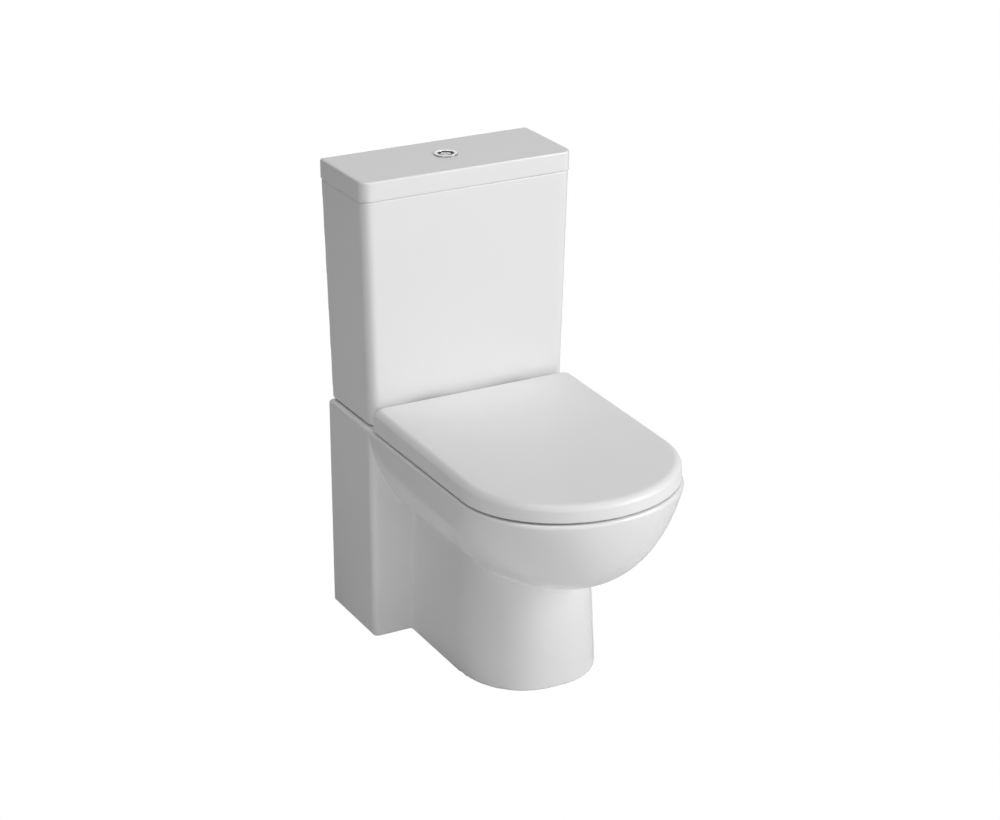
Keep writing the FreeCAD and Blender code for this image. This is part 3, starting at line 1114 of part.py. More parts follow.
def ring_blocks(moulding):
    """The one moulded ring in blocks that meet along planes across its mouth."""
    side = RING_HALF_WIDTH + SPARE
    mouth_back = RING_MOUTH_BACK + RING_PARTING
    mouth_front = RING_MOUTH_FRONT - RING_PARTING

    def within(off0, off1):
        return largest_first(moulding.common(block(-side, side, off0, off1, RING_UNDER - SPARE,
                                                   HINGE_AXIS_Z + KNUCKLE_R + SPARE)))

    return {
        "seat_ring_rear": within(HINGE_AXIS_OFF - KNUCKLE_R - SPARE, mouth_back)[0],
        "seat_ring_sides": Part.makeCompound(within(mouth_back, mouth_front)),
        "seat_ring_front": within(mouth_front, RING_FRONT + SPARE)[0],
    }


def ring_buffers():
    """Rubber feet under the ring, each with a stub in its socket."""
    feet = []
    for side in (-1, 1):
        for off in RING_BUFFER_OFFS:
            foot = rod_z(side * RING_BUFFER_X, off, RIM_HEIGHT, RING_UNDER, BUFFER_R)
            stub = rod_z(side * RING_BUFFER_X, off, RING_UNDER, RING_UNDER + BUFFER_STUB, BUFFER_STUB_R)
            feet.append(solid_of(foot.fuse(stub)))
    return Part.makeCompound(feet)


# ---- seat cover ----------------------------------------------------------------------------------
def cover_outline(z, inset, shoulder=0.0):
    """Outline of the cover inside its widest line, and inside that by part of the shoulder."""
    return d_outline(z, COVER_HALF_WIDTH - inset - shoulder,
                     COVER_BACK + inset + shoulder * COVER_BACK_SHARE, BOWL_CURVE_START,
                     COVER_FRONT - inset - shoulder, COVER_EXPONENT, COVER_CORNER)


def falling(outline):
    """Turns an outline about the rear edge of the crease, so that it falls to the front."""
    outline.rotate(at(0, COVER_BACK, RIM_HEIGHT + COVER_CREASE), V(1, 0, 0), COVER_FALL)
    return outline


def cover_form(wall, low):
    """Outside of the cover, or with a wall the room inside it, from the level low up."""
    crease = RIM_HEIGHT + COVER_CREASE - COVER_CREASE_LAG * wall
    flat = COVER_TOP - COVER_DOME - wall
    inset = wall + COVER_DRAFT
    skirt = loft([cover_outline(low, wall), falling(cover_outline(crease, inset))])
    start = math.radians(SHOULDER_START)
    outlines = []
    for share in SHOULDER_STEPS:
        angle = start + (math.pi / 2 - start) * share
        across = 1 - math.cos(angle) / math.cos(start)
        up = (math.sin(angle) - math.sin(start)) / (1 - math.sin(start))
        outlines.append(falling(cover_outline(crease + (flat - crease) * up, inset,
                                              COVER_SHOULDER * across)))
    body = skirt.fuse(loft(outlines))
    if wall == 0:
        dome = ((flat, 0), (flat + COVER_DOME_SIDE, DOME_RUN / 2), (COVER_TOP, DOME_RUN))
        body = body.fuse(loft([falling(cover_outline(z, inset, COVER_SHOULDER + run))
                               for z, run in dome]))
    return body


def make_seat_cover():
    body = cover_form(0, COVER_UNDER).cut(cover_form(COVER_WALL, COVER_UNDER - SPARE))
    x1 = HINGE_X - KNUCKLE_WIDTH / 2 - KNUCKLE_GAP
    arm = knuckle(x1 - KNUCKLE_WIDTH, x1,
                  [(HINGE_AXIS_OFF - KNUCKLE_R, HINGE_AXIS_Z),
                   (HINGE_AXIS_OFF + KNUCKLE_R, HINGE_AXIS_Z),
                   (HINGE_AXIS_OFF + KNUCKLE_R, COVER_INSIDE_TOP + SPARE),
                   (HINGE_AXIS_OFF - KNUCKLE_R, COVER_INSIDE_TOP + SPARE)])
    body = body.fuse([arm, mirrored(arm)]).cut(pin_bore(RUNNING_FIT))
    inner_x = COVER_HALF_WIDTH - COVER_CORNER - COVER_WALL
    back = COVER_BACK - SPARE
    gap = block(-inner_x, inner_x, back, COVER_BACK + COVER_GAP_DEPTH, COVER_UNDER - SPARE,
                RIM_HEIGHT + COVER_CREASE - COVER_BACK_WALL)
    cuts = [gap]
    notch_half = PUCK_R + RING_NOTCH_CLEAR
    for side in (-1, 1):
        cuts.append(block(side * HINGE_X - notch_half, side * HINGE_X + notch_half, back,
                          COVER_BACK + COVER_NOTCH, COVER_UNDER - SPARE,
                          COVER_INSIDE_TOP - COVER_NOTCH_ROOF))
    sweep = HINGE_AXIS_RISE - COVER_SWEEP_CLEAR
    reach = COVER_HALF_WIDTH + SPARE
    cuts.append(block(-reach, reach, back, HINGE_AXIS_OFF, COVER_UNDER - SPARE, HINGE_AXIS_Z).cut(
        rod_x(-reach - SPARE, reach + SPARE, HINGE_AXIS_OFF, HINGE_AXIS_Z, sweep)))
    return solid_of(body.cut(cuts))


def cover_blocks(moulding):
    """The one moulded cover in blocks, so that those over the hinge posts stand alone."""
    side = COVER_HALF_WIDTH + SPARE
    inner = HINGE_X - PUCK_R - RING_NOTCH_CLEAR
    outer = HINGE_X + PUCK_R + RING_NOTCH_CLEAR
    rear = COVER_BACK - SPARE
    parting = HINGE_AXIS_OFF + KNUCKLE_R + COVER_PARTING
    low = COVER_UNDER - SPARE
    above = COVER_TOP + SPARE

    def within(x0, x1, off0, off1):
        return largest_first(moulding.common(block(x0, x1, off0, off1, low, above)))[0]

    return {
        "seat_cover": within(-side, side, parting, COVER_FRONT + SPARE),
        "cover_rear_middle": within(-inner, inner, rear, parting),
        "cover_rear_hinges": both_sides(within(inner, outer, rear, parting)),
        "cover_rear_corners": both_sides(within(outer, side, rear, parting)),
    }


def cover_buffers():
    """Rubber pads under the cover that rest on the ring."""
    room = cover_form(COVER_WALL, COVER_UNDER)
    pads = [rod_z(side * COVER_BUFFER_X, off, RING_TOP, COVER_INSIDE_TOP, COVER_BUFFER_R)
            for side in (-1, 1) for off in COVER_BUFFER_OFFS]
    return Part.makeCompound([solid_of(pad.common(room)) for pad in pads])


# ---- hinges and seat fixings ---------------------------------------------------------------------
def hinge_post():
    """Foot bolted to the pan with the post that holds the hinge pin."""
    top = RIM_HEIGHT + PUCK_HEIGHT
    foot = rod_z(HINGE_X, HINGE_BOLT_OFF, RIM_HEIGHT, top, PUCK_R)
    half = KNUCKLE_WIDTH / 2
    heel = block(HINGE_X - half, HINGE_X + half, HINGE_AXIS_OFF - POST_HEEL, HINGE_BOLT_OFF,
                 RIM_HEIGHT, top)
    post = knuckle(HINGE_X - half, HINGE_X + half,
                   [(HINGE_AXIS_OFF - POST_HEEL, top - SPARE),
                    (HINGE_AXIS_OFF + KNUCKLE_R + KNUCKLE_ROOT, top - SPARE),
                    (HINGE_AXIS_OFF + KNUCKLE_R, HINGE_AXIS_Z),
                    (HINGE_AXIS_OFF - POST_HEEL, HINGE_AXIS_Z)])
    head_room = rod_z(HINGE_X, HINGE_BOLT_OFF, top - SEAT_BOLT_HEAD, top + SPARE,
                      SEAT_BOLT_HEAD_R + THREAD_CLEAR)
    shank = rod_z(HINGE_X, HINGE_BOLT_OFF, RIM_HEIGHT - SPARE, top, SEAT_BOLT_R + THREAD_CLEAR)
    return solid_of(foot.fuse([heel, post]).cut(pin_bore(RUNNING_FIT).fuse([head_room, shank])))


def hinge_pin():
    reach = KNUCKLE_WIDTH * 1.5 + KNUCKLE_GAP
    return rod_x(HINGE_X - reach, HINGE_X + reach, HINGE_AXIS_OFF, HINGE_AXIS_Z, PIN_R)


def soft_close_damper():
    x1 = HINGE_X - KNUCKLE_WIDTH * 1.5 - KNUCKLE_GAP
    barrel = rod_x(x1 - DAMPER_LENGTH, x1, HINGE_AXIS_OFF, HINGE_AXIS_Z, DAMPER_R)
    clip = block(x1 - DAMPER_LENGTH, x1 - DAMPER_LENGTH + KNUCKLE_R, HINGE_AXIS_OFF + SPARE,
                 HINGE_AXIS_OFF + DAMPER_R, HINGE_AXIS_Z, COVER_INSIDE_TOP)
    room = cover_form(COVER_WALL, COVER_UNDER)
    return solid_of(barrel.fuse(clip.common(room)))


def seat_bolt():
    head_z = RIM_HEIGHT + PUCK_HEIGHT - SEAT_BOLT_HEAD
    head = rod_z(HINGE_X, HINGE_BOLT_OFF, head_z, head_z + SEAT_BOLT_HEAD, SEAT_BOLT_HEAD_R)
    return solid_of(head.fuse(rod_z(HINGE_X, HINGE_BOLT_OFF, head_z - SEAT_BOLT_LENGTH, head_z,
                                    SEAT_BOLT_R)))


def seat_bush():
    """Rubber bush in the pan's hole with its flange below the plate."""
    flange = rod_z(HINGE_X, HINGE_BOLT_OFF, PLATE_UNDER - SEAT_WASHER, PLATE_UNDER, SEAT_WASHER_R)
    sleeve = rod_z(HINGE_X, HINGE_BOLT_OFF, PLATE_UNDER, RIM_HEIGHT, HINGE_HOLE_R)
    bore = rod_z(HINGE_X, HINGE_BOLT_OFF, PLATE_UNDER - SEAT_WASHER - SPARE, RIM_HEIGHT + SPARE,
                 SEAT_BOLT_R + THREAD_CLEAR)
    return solid_of(flange.fuse(sleeve).cut(bore))


def seat_nut():
    top = PLATE_UNDER - SEAT_WASHER
    nut = hexagon(HINGE_X, HINGE_BOLT_OFF, top - SEAT_NUT, top, SEAT_NUT_R)
    return nut.cut(rod_z(HINGE_X, HINGE_BOLT_OFF, top - SEAT_NUT - SPARE, top + SPARE,
                         SEAT_BOLT_R + THREAD_CLEAR))


# ---- assembly ------------------------------------------------------------------------------------
NODES = {
    **pan_blocks(make_pan()),
    "coupling_seal": coupling_seal(),
    "cistern": make_cistern(),
    "cistern_lid": make_cistern_lid(),
    "coupling_bolts": both_sides(coupling_bolt()),
    "coupling_bolt_seals": both_sides(bolt_seal()),
    "shelf_washers": both_sides(shelf_washer()),
    "wing_nuts": both_sides(wing_nut()),
    "button_housing": button_housing(),
    "button_clamp_nut": clamp_nut(),
    "full_flush_button": half_button(-1),
    "half_flush_button": half_button(1),
    "full_flush_spring": button_spring(-1),
    "half_flush_spring": button_spring(1),
    "full_push_rod": push_rod(-1),
    "half_push_rod": push_rod(1),
    "flush_valve_body": valve_body(),
    "flush_valve_washer": valve_washer(),
    "flush_valve_back_nut": valve_back_nut(),
    "overflow_tube": overflow_tube(),
    "flush_seal": flush_seal(),
    "stem_float": stem_float(),
    "full_flush_rocker": rocker(-1, True),
    "half_flush_rocker": rocker(1, False),
    "rocker_pins": rocker_pins(),
    "fill_valve_body": fill_valve_body(),
    "fill_valve_head": fill_valve_head(),
    "fill_valve_washer": inlet_washer(),
    "fill_valve_back_nut": inlet_back_nut(),
    "lever_arm": lever_arm(),
    "lever_pin": lever_pin(),
    "float_cup": float_cup(),
    "link_rod": link_rod(),
    "silencer_tube": silencer_tube(),
    **ring_blocks(make_seat_ring()),
    "ring_buffers": ring_buffers(),
    **cover_blocks(make_seat_cover()),
    "cover_buffers": cover_buffers(),
    "hinge_posts": both_sides(hinge_post()),
    "hinge_pins": both_sides(hinge_pin()),
    "soft_close_dampers": both_sides(soft_close_damper()),
    "seat_bolts": both_sides(seat_bolt()),
    "seat_bushes": both_sides(seat_bush()),
    "seat_nuts": both_sides(seat_nut()),
}


os.makedirs("parts", exist_ok=True)
for name, shape in NODES.items():
    print(name, shape.isValid(), len(shape.Solids), round(shape.Volume / 1000, 1), "ml")
    shape.exportStep("parts/" + name + ".step")
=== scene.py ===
"""Looks of a close coupled toilet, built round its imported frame.

Every length is in metres.  +Z is up, the wall is on the +Y side and the bowl points to -Y.
"""

from __future__ import annotations

import json
import logging
import math
from collections.abc import Callable
from dataclasses import dataclass, replace
from enum import Enum

import bmesh
import bpy
from mathutils import Matrix, Vector

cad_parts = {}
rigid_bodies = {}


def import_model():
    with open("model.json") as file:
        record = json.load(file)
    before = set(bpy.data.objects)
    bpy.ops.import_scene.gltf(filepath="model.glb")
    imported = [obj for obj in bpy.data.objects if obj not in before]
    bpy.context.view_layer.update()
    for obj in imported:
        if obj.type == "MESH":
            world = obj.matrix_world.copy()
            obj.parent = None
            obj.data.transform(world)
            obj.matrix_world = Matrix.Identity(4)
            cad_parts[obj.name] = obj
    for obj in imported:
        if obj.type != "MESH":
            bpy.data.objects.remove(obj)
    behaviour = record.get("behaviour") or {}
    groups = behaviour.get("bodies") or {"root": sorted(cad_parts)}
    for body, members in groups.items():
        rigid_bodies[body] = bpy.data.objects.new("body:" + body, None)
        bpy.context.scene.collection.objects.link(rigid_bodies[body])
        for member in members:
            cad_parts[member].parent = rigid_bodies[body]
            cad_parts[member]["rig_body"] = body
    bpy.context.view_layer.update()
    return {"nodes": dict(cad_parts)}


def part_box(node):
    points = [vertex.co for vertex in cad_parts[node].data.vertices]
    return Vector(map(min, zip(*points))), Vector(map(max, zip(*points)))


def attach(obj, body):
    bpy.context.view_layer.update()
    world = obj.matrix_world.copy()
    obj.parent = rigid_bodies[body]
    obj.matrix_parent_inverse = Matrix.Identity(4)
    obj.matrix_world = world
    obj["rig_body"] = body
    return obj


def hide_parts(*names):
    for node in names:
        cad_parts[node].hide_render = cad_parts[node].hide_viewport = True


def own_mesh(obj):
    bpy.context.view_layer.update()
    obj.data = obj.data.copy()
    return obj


LOG = logging.getLogger("close_coupled_toilet")
MM = 0.001

Colour = tuple[float, float, float]


class Sheen(Enum):
    """How a surface takes the light, by its roughness."""

    GLASSY = 0.07
    GLOSSY = 0.16
    SATIN = 0.36
    MATT = 0.62
    DRY = 0.82


class Working(Enum):
    """How a metal surface was worked, by the spacing of the marks left on it."""

    PLATED = 0.0
    TURNED = 0.9 * MM
    DRAWN = 0.35 * MM


# ---- shader groups -------------------------------------------------------------------------------
def add_node(tree: bpy.types.NodeTree, kind: str, inputs: dict[str | int, object] | None = None,
             **settings: object) -> bpy.types.Node:
    """Adds a shader node and sets its properties and its plain inputs.

    Args:
        tree: The node tree that it goes into.
        kind: The node's type name.
        inputs: Values of input sockets, by name or number.
        settings: Properties of the node by name.

    Returns:
        The new node.
    """
    made = tree.nodes.new(kind)
    for key, value in settings.items():
        setattr(made, key, value)
    for socket, value in (inputs or {}).items():
        made.inputs[socket].default_value = value
    return made


class GroupSketch:
    """A shader node group being drawn, with its named inputs and outputs."""

    def __init__(self, name: str, inputs: dict[str, float], outputs: dict[str, str]) -> None:
        """Starts an empty group.

        Args:
            name: The group's name.
            inputs: Input names with their usual values.
            outputs: Output names with their socket types.
        """
        self.tree = bpy.data.node_groups.new(name, "ShaderNodeTree")
        face = self.tree.interface
        for label, value in inputs.items():
            socket = face.new_socket(label, in_out="INPUT", socket_type="NodeSocketFloat")
            socket.default_value = value
        for label, kind in outputs.items():
            face.new_socket(label, in_out="OUTPUT", socket_type=kind)
        self.entry = self.tree.nodes.new("NodeGroupInput")
        self.exit = self.tree.nodes.new("NodeGroupOutput")

    def node(self, kind: str, inputs: dict[str | int, object] | None = None, **settings: object
             ) -> bpy.types.Node:
        """Adds a node to the group, as add_node does."""
        return add_node(self.tree, kind, inputs, **settings)

    def link(self, source: bpy.types.NodeSocket, target: bpy.types.NodeSocket) -> None:
        """Joins two sockets."""
        self.tree.links.new(source, target)


@dataclass
class SharedEffects:
    """Shader node groups that several finishes use, each drawn once."""

    broad_detail: float = 1.5
    fine_detail: float = 2.0
    fine_ratio: float = 4.7
    fine_share: float = 0.22
    drift_detail: float = 3.0

    def __post_init__(self) -> None:
        """Draws the groups."""
        self.ripple = self._ripple()
        self.drift = self._drift()
        self.tooling = self._tooling()

    def _ripple(self) -> bpy.types.NodeTree:
        """Height of the faint waviness that a dipped glaze or a moulding keeps.

        Returns:
            The node group, with inputs Size and Strength and the output Height.
        """
        sketch = GroupSketch("surface_ripple", {"Size": 6 * MM, "Strength": 1.0},
                             {"Height": "NodeSocketFloat"})
        place = sketch.node("ShaderNodeTexCoord")
        spread = sketch.node("ShaderNodeMath", {0: 1.0}, operation="DIVIDE")
        broad = sketch.node("ShaderNodeTexNoise", {"Detail": self.broad_detail})
        fine = sketch.node("ShaderNodeTexNoise", {"Detail": self.fine_detail})
        finer = sketch.node("ShaderNodeMath", {1: self.fine_ratio}, operation="MULTIPLY")
        share = sketch.node("ShaderNodeMath", {1: self.fine_share}, operation="MULTIPLY")
        total = sketch.node("ShaderNodeMath", operation="ADD")
        scaled = sketch.node("ShaderNodeMath", operation="MULTIPLY")
        sketch.link(sketch.entry.outputs["Size"], spread.inputs[1])
        sketch.link(spread.outputs[0], broad.inputs["Scale"])
        sketch.link(spread.outputs[0], finer.inputs[0])
        sketch.link(finer.outputs[0], fine.inputs["Scale"])
        for noise in (broad, fine):
            sketch.link(place.outputs["Object"], noise.inputs["Vector"])
        sketch.link(fine.outputs["Fac"], share.inputs[0])
        sketch.link(broad.outputs["Fac"], total.inputs[0])
        sketch.link(share.outputs[0], total.inputs[1])
        sketch.link(total.outputs[0], scaled.inputs[0])
        sketch.link(sketch.entry.outputs["Strength"], scaled.inputs[1])
        sketch.link(scaled.outputs[0], sketch.exit.inputs["Height"])
        return sketch.tree

    def _drift(self) -> bpy.types.NodeTree:
        """Slow change of tone and gloss over a surface.

        Returns:
            The node group, with inputs Size and Amount and the output Tone, about 0.
        """
        sketch = GroupSketch("tone_drift", {"Size": 90 * MM, "Amount": 0.02},
                             {"Tone": "NodeSocketFloat"})
        place = sketch.node("ShaderNodeTexCoord")
        spread = sketch.node("ShaderNodeMath", {0: 1.0}, operation="DIVIDE")
        noise = sketch.node("ShaderNodeTexNoise", {"Detail": self.drift_detail})
        centred = sketch.node("ShaderNodeMath", {1: 0.5}, operation="SUBTRACT")
        scaled = sketch.node("ShaderNodeMath", operation="MULTIPLY")
        sketch.link(sketch.entry.outputs["Size"], spread.inputs[1])
        sketch.link(spread.outputs[0], noise.inputs["Scale"])
        sketch.link(place.outputs["Object"], noise.inputs["Vector"])
        sketch.link(noise.outputs["Fac"], centred.inputs[0])
        sketch.link(centred.outputs[0], scaled.inputs[0])
        sketch.link(sketch.entry.outputs["Amount"], scaled.inputs[1])
        sketch.link(scaled.outputs[0], sketch.exit.inputs["Tone"])
        return sketch.tree

    def _tooling(self) -> bpy.types.NodeTree:
        """Fine level lines that turning or drawing leaves on a metal piece.

        Returns:
            The node group, with inputs Spacing and Strength and the output Height.
        """
        sketch = GroupSketch("tool_lines", {"Spacing": Working.TURNED.value, "Strength": 1.0},
                             {"Height": "NodeSocketFloat"})
        place = sketch.node("ShaderNodeTexCoord")
        split = sketch.node("ShaderNodeSeparateXYZ")
        turns = sketch.node("ShaderNodeMath", operation="DIVIDE")
        full = sketch.node("ShaderNodeMath", {1: 2 * math.pi}, operation="MULTIPLY")
        wave = sketch.node("ShaderNodeMath", operation="SINE")
        scaled = sketch.node("ShaderNodeMath", operation="MULTIPLY")
        sketch.link(place.outputs["Object"], split.inputs[0])
        sketch.link(split.outputs["Z"], turns.inputs[0])
        sketch.link(sketch.entry.outputs["Spacing"], turns.inputs[1])
        sketch.link(turns.outputs[0], full.inputs[0])
        sketch.link(full.outputs[0], wave.inputs[0])
        sketch.link(wave.outputs[0], scaled.inputs[0])
        sketch.link(sketch.entry.outputs["Strength"], scaled.inputs[1])
        sketch.link(scaled.outputs[0], sketch.exit.inputs["Height"])
        return sketch.tree


# ---- finishes ------------------------------------------------------------------------------------
@dataclass(frozen=True)
class Finish:
    """A surface finish: its colour, its sheen and how both change over the surface."""

    name: str
    colour: Colour
    sheen: Sheen
    ripple_size: float = 6 * MM
    ripple_height: float = 0.02 * MM
    tone_size: float = 90 * MM
    tone_amount: float = 0.03
    gloss_size: float = 30 * MM
    gloss_amount: float = 0.05
    ior: float = 1.5

    def material(self, effects: SharedEffects) -> bpy.types.Material:
        """Builds the material of this finish.

        Args:
            effects: The shared shader groups.

        Returns:
            The new material.
        """
        made = bpy.data.materials.new(self.name)
        made.use_nodes = True
        made.diffuse_color = (*self.colour, 1.0)
        tree = made.node_tree
        shader = tree.nodes["Principled BSDF"]
        self._paint(tree, effects, shader)
        self._relief(tree, effects, shader)
        self._set(shader)
        return made

    def _set(self, shader: bpy.types.Node) -> None:
        """Sets what is the same all over the surface."""
        shader.inputs["IOR"].default_value = self.ior

    def _paint(self, tree: bpy.types.NodeTree, effects: SharedEffects,
               shader: bpy.types.Node) -> None:
        """Links the colour and the roughness with their slow drift.

        Args:
            tree: The material's node tree.
            effects: The shared shader groups.
            shader: The material's shader.
        """
        tone = add_node(tree, "ShaderNodeGroup", node_tree=effects.drift,
                        inputs={"Size": self.tone_size, "Amount": self.tone_amount})
        gloss = add_node(tree, "ShaderNodeGroup", node_tree=effects.drift,
                         inputs={"Size": self.gloss_size, "Amount": self.gloss_amount})
        level = add_node(tree, "ShaderNodeHueSaturation", {"Color": (*self.colour, 1.0)})
        value = add_node(tree, "ShaderNodeMath", {1: 1.0}, operation="ADD")
        rough = add_node(tree, "ShaderNodeMath", {1: self.sheen.value}, operation="ADD",
                         use_clamp=True)
        tree.links.new(tone.outputs["Tone"], value.inputs[0])
        tree.links.new(value.outputs[0], level.inputs["Value"])
        tree.links.new(gloss.outputs["Tone"], rough.inputs[0])
        self._finish_paint(tree, level.outputs["Color"], rough.outputs[0], shader)

    def _finish_paint(self, tree: bpy.types.NodeTree, colour: bpy.types.NodeSocket,
                      rough: bpy.types.NodeSocket, shader: bpy.types.Node) -> None:
        """Takes the colour and the roughness to the shader."""
        tree.links.new(colour, shader.inputs["Base Color"])
        tree.links.new(rough, shader.inputs["Roughness"])

    def _relief(self, tree: bpy.types.NodeTree, effects: SharedEffects,
                shader: bpy.types.Node) -> None:
        """Links the surface's faint waviness to the shader's normal.

        Args:
            tree: The material's node tree.
            effects: The shared shader groups.
            shader: The material's shader.
        """
        ripple = add_node(tree, "ShaderNodeGroup", node_tree=effects.ripple,
                          inputs={"Size": self.ripple_size, "Strength": 1.0})
        self._bump(tree, ripple.outputs["Height"], shader)

    def _bump(self, tree: bpy.types.NodeTree, height: bpy.types.NodeSocket,
              shader: bpy.types.Node) -> None:
        """Turns a height into the shader's normal.

        Args:
            tree: The material's node tree.
            height: The height, as a share of the finish's ripple height.
            shader: The material's shader.
        """
        bump = add_node(tree, "ShaderNodeBump", {"Distance": self.ripple_height})
        tree.links.new(height, bump.inputs["Height"])
        tree.links.new(bump.outputs["Normal"], shader.inputs["Normal"])


@dataclass(frozen=True)
class Glaze(Finish):
    """White glaze over a vitreous body, which stays bare where the glaze was wiped off."""

    ior: float = 1.52
    coat: float = 0.35
    coat_roughness: float = 0.03
    bare_colour: Colour = (0.70, 0.675, 0.62)
    bare_sheen: Sheen = Sheen.MATT
    ragged_scale: float = 45.0
    ragged_detail: float = 4.0
    bare_start: float = 0.93
    bare_full: float = 1.05

    def _finish_paint(self, tree: bpy.types.NodeTree, colour: bpy.types.NodeSocket,
                      rough: bpy.types.NodeSocket, shader: bpy.types.Node) -> None:
        """Mixes the bare body in where the mesh's bare layer says so.

        Args:
            tree: The material's node tree.
            colour: Colour of the surface.
            rough: Roughness of the surface.
            shader: The material's shader.
        """
        bare = add_node(tree, "ShaderNodeAttribute", attribute_name=BARE_LAYER)
        place = add_node(tree, "ShaderNodeTexCoord")
        ragged = add_node(tree, "ShaderNodeTexNoise", {"Scale": self.ragged_scale,
                                                       "Detail": self.ragged_detail})
        edge = add_node(tree, "ShaderNodeMath", operation="ADD")
        limit = add_node(tree, "ShaderNodeMapRange", {"From Min": self.bare_start,
                                                      "From Max": self.bare_full})
        paint = add_node(tree, "ShaderNodeMix", {"B": (*self.bare_colour, 1.0)}, data_type="RGBA")
        sheen = add_node(tree, "ShaderNodeMix", {"B": self.bare_sheen.value})
        tree.links.new(place.outputs["Object"], ragged.inputs["Vector"])
        tree.links.new(bare.outputs["Fac"], edge.inputs[0])
        tree.links.new(ragged.outputs["Fac"], edge.inputs[1])
        tree.links.new(edge.outputs[0], limit.inputs["Value"])
        tree.links.new(limit.outputs["Result"], paint.inputs["Factor"])
        tree.links.new(colour, paint.inputs["A"])
        tree.links.new(limit.outputs["Result"], sheen.inputs["Factor"])
        tree.links.new(rough, sheen.inputs["A"])
        tree.links.new(paint.outputs["Result"], shader.inputs["Base Color"])
        tree.links.new(sheen.outputs["Result"], shader.inputs["Roughness"])

    def _set(self, shader: bpy.types.Node) -> None:
        """Gives the glaze its glassy top.

        Args:
            shader: The material's shader.
        """
        super()._set(shader)
        shader.inputs["Coat Weight"].default_value = self.coat
        shader.inputs["Coat Roughness"].default_value = self.coat_roughness


@dataclass(frozen=True)
class Metal(Finish):
    """A bare or plated metal with the marks of how it was worked."""

    working: Working = Working.PLATED

    def _set(self, shader: bpy.types.Node) -> None:
        """Makes the surface metallic."""
        shader.inputs["Metallic"].default_value = 1.0

    def _relief(self, tree: bpy.types.NodeTree, effects: SharedEffects,
                shader: bpy.types.Node) -> None:
        """Links the tool lines, or the plating's faint ripple, to the shader's normal.

        Args:
            tree: The material's node tree.
            effects: The shared shader groups.
            shader: The material's shader.
        """
        if self.working is Working.PLATED:
            super()._relief(tree, effects, shader)
            return
        lines = add_node(tree, "ShaderNodeGroup", node_tree=effects.tooling,
                         inputs={"Spacing": self.working.value, "Strength": 1.0})
        self._bump(tree, lines.outputs["Height"], shader)


@dataclass(frozen=True)
class PaintedShadeRingPlate(Metal):
    """Plating with a ring of painted shade round a bright middle, standing in for shadow and dark
    reflections.
    """

    centre: tuple[float, float] = (0.0, 0.0)
    inner: float = 9.0 * MM
    outer: float = 13.0 * MM
    edge_blur: float = 0.4 * MM
    # colour of the painted shade in the ring
    painted_ring_shade: float = 0.16

    def _finish_paint(self, tree: bpy.types.NodeTree, colour: bpy.types.NodeSocket,
                      rough: bpy.types.NodeSocket, shader: bpy.types.Node) -> None:
        """Paints shade into the ring between the two radii by darkening the colour there.

        Args:
            tree: The material's node tree.
            colour: Colour of the surface.
            rough: Roughness of the surface.
            shader: The material's shader.
        """
        place = add_node(tree, "ShaderNodeTexCoord")
        moved = add_node(tree, "ShaderNodeVectorMath", {1: (*self.centre, 0.0)},
                         operation="SUBTRACT")
        flat = add_node(tree, "ShaderNodeVectorMath", {1: (1.0, 1.0, 0.0)}, operation="MULTIPLY")
        radius = add_node(tree, "ShaderNodeVectorMath", operation="LENGTH")
        ring = add_node(tree, "ShaderNodeMath", operation="MULTIPLY")
        paint = add_node(tree, "ShaderNodeMix", {"B": (self.painted_ring_shade, self.painted_ring_shade, self.painted_ring_shade, 1.0)},
                         data_type="RGBA")
        tree.links.new(place.outputs["Object"], moved.inputs[0])
        tree.links.new(moved.outputs[0], flat.inputs[0])
        tree.links.new(flat.outputs[0], radius.inputs[0])
        edges = ((self.inner, self.edge_blur), (self.outer, -self.edge_blur))
        for k, (edge, blur) in enumerate(edges):
            ramp = add_node(tree, "ShaderNodeMapRange", interpolation_type="SMOOTHSTEP",
                            inputs={"From Min": edge - blur, "From Max": edge + blur})
            tree.links.new(radius.outputs["Value"], ramp.inputs["Value"])
            tree.links.new(ramp.outputs["Result"], ring.inputs[k])
        tree.links.new(ring.outputs[0], paint.inputs["Factor"])
        tree.links.new(colour, paint.inputs["A"])
        tree.links.new(paint.outputs["Result"], shader.inputs["Base Color"])
        tree.links.new(rough, shader.inputs["Roughness"])


BARE_LAYER = "bare_body"
WHITE_GLAZE = Glaze("white_glaze", (0.86, 0.86, 0.862), Sheen.GLOSSY, ripple_size=9 * MM,
                    ripple_height=0.03 * MM, tone_amount=0.012, gloss_amount=0.04)
SEAT_MOULDING = Finish("white_seat_moulding", (0.87, 0.87, 0.871), Sheen.SATIN,
                       ripple_size=14 * MM, ripple_height=0.02 * MM, tone_amount=0.008)
FITTING_PLASTIC = Finish("white_fitting_plastic", (0.78, 0.79, 0.78), Sheen.SATIN,
                         ripple_size=1.6 * MM, ripple_height=0.02 * MM, tone_amount=0.03)
GREY_PLASTIC = Finish("grey_damper_plastic", (0.36, 0.37, 0.38), Sheen.SATIN,
                      ripple_size=1.2 * MM, ripple_height=0.03 * MM)
BLUE_PLASTIC = Finish("blue_seal_silicone", (0.10, 0.22, 0.38), Sheen.SATIN,
                      ripple_size=2 * MM, ripple_height=0.02 * MM)
BLACK_RUBBER = Finish("black_rubber", (0.035, 0.035, 0.036), Sheen.DRY, ripple_size=0.8 * MM,
                      ripple_height=0.05 * MM, tone_amount=0.2)
CLEAR_RUBBER = Finish("pale_buffer_rubber", (0.66, 0.67, 0.66), Sheen.MATT, ripple_size=1.0 * MM,
                      ripple_height=0.03 * MM)
TURNED_BRASS = Metal("turned_brass", (0.78, 0.60, 0.30), Sheen.SATIN, ripple_height=0.012 * MM,
                     tone_amount=0.12, working=Working.TURNED)
DRAWN_STEEL = Metal("drawn_steel", (0.60, 0.60, 0.60), Sheen.SATIN, ripple_height=0.008 * MM,
                    tone_amount=0.08, working=Working.DRAWN)
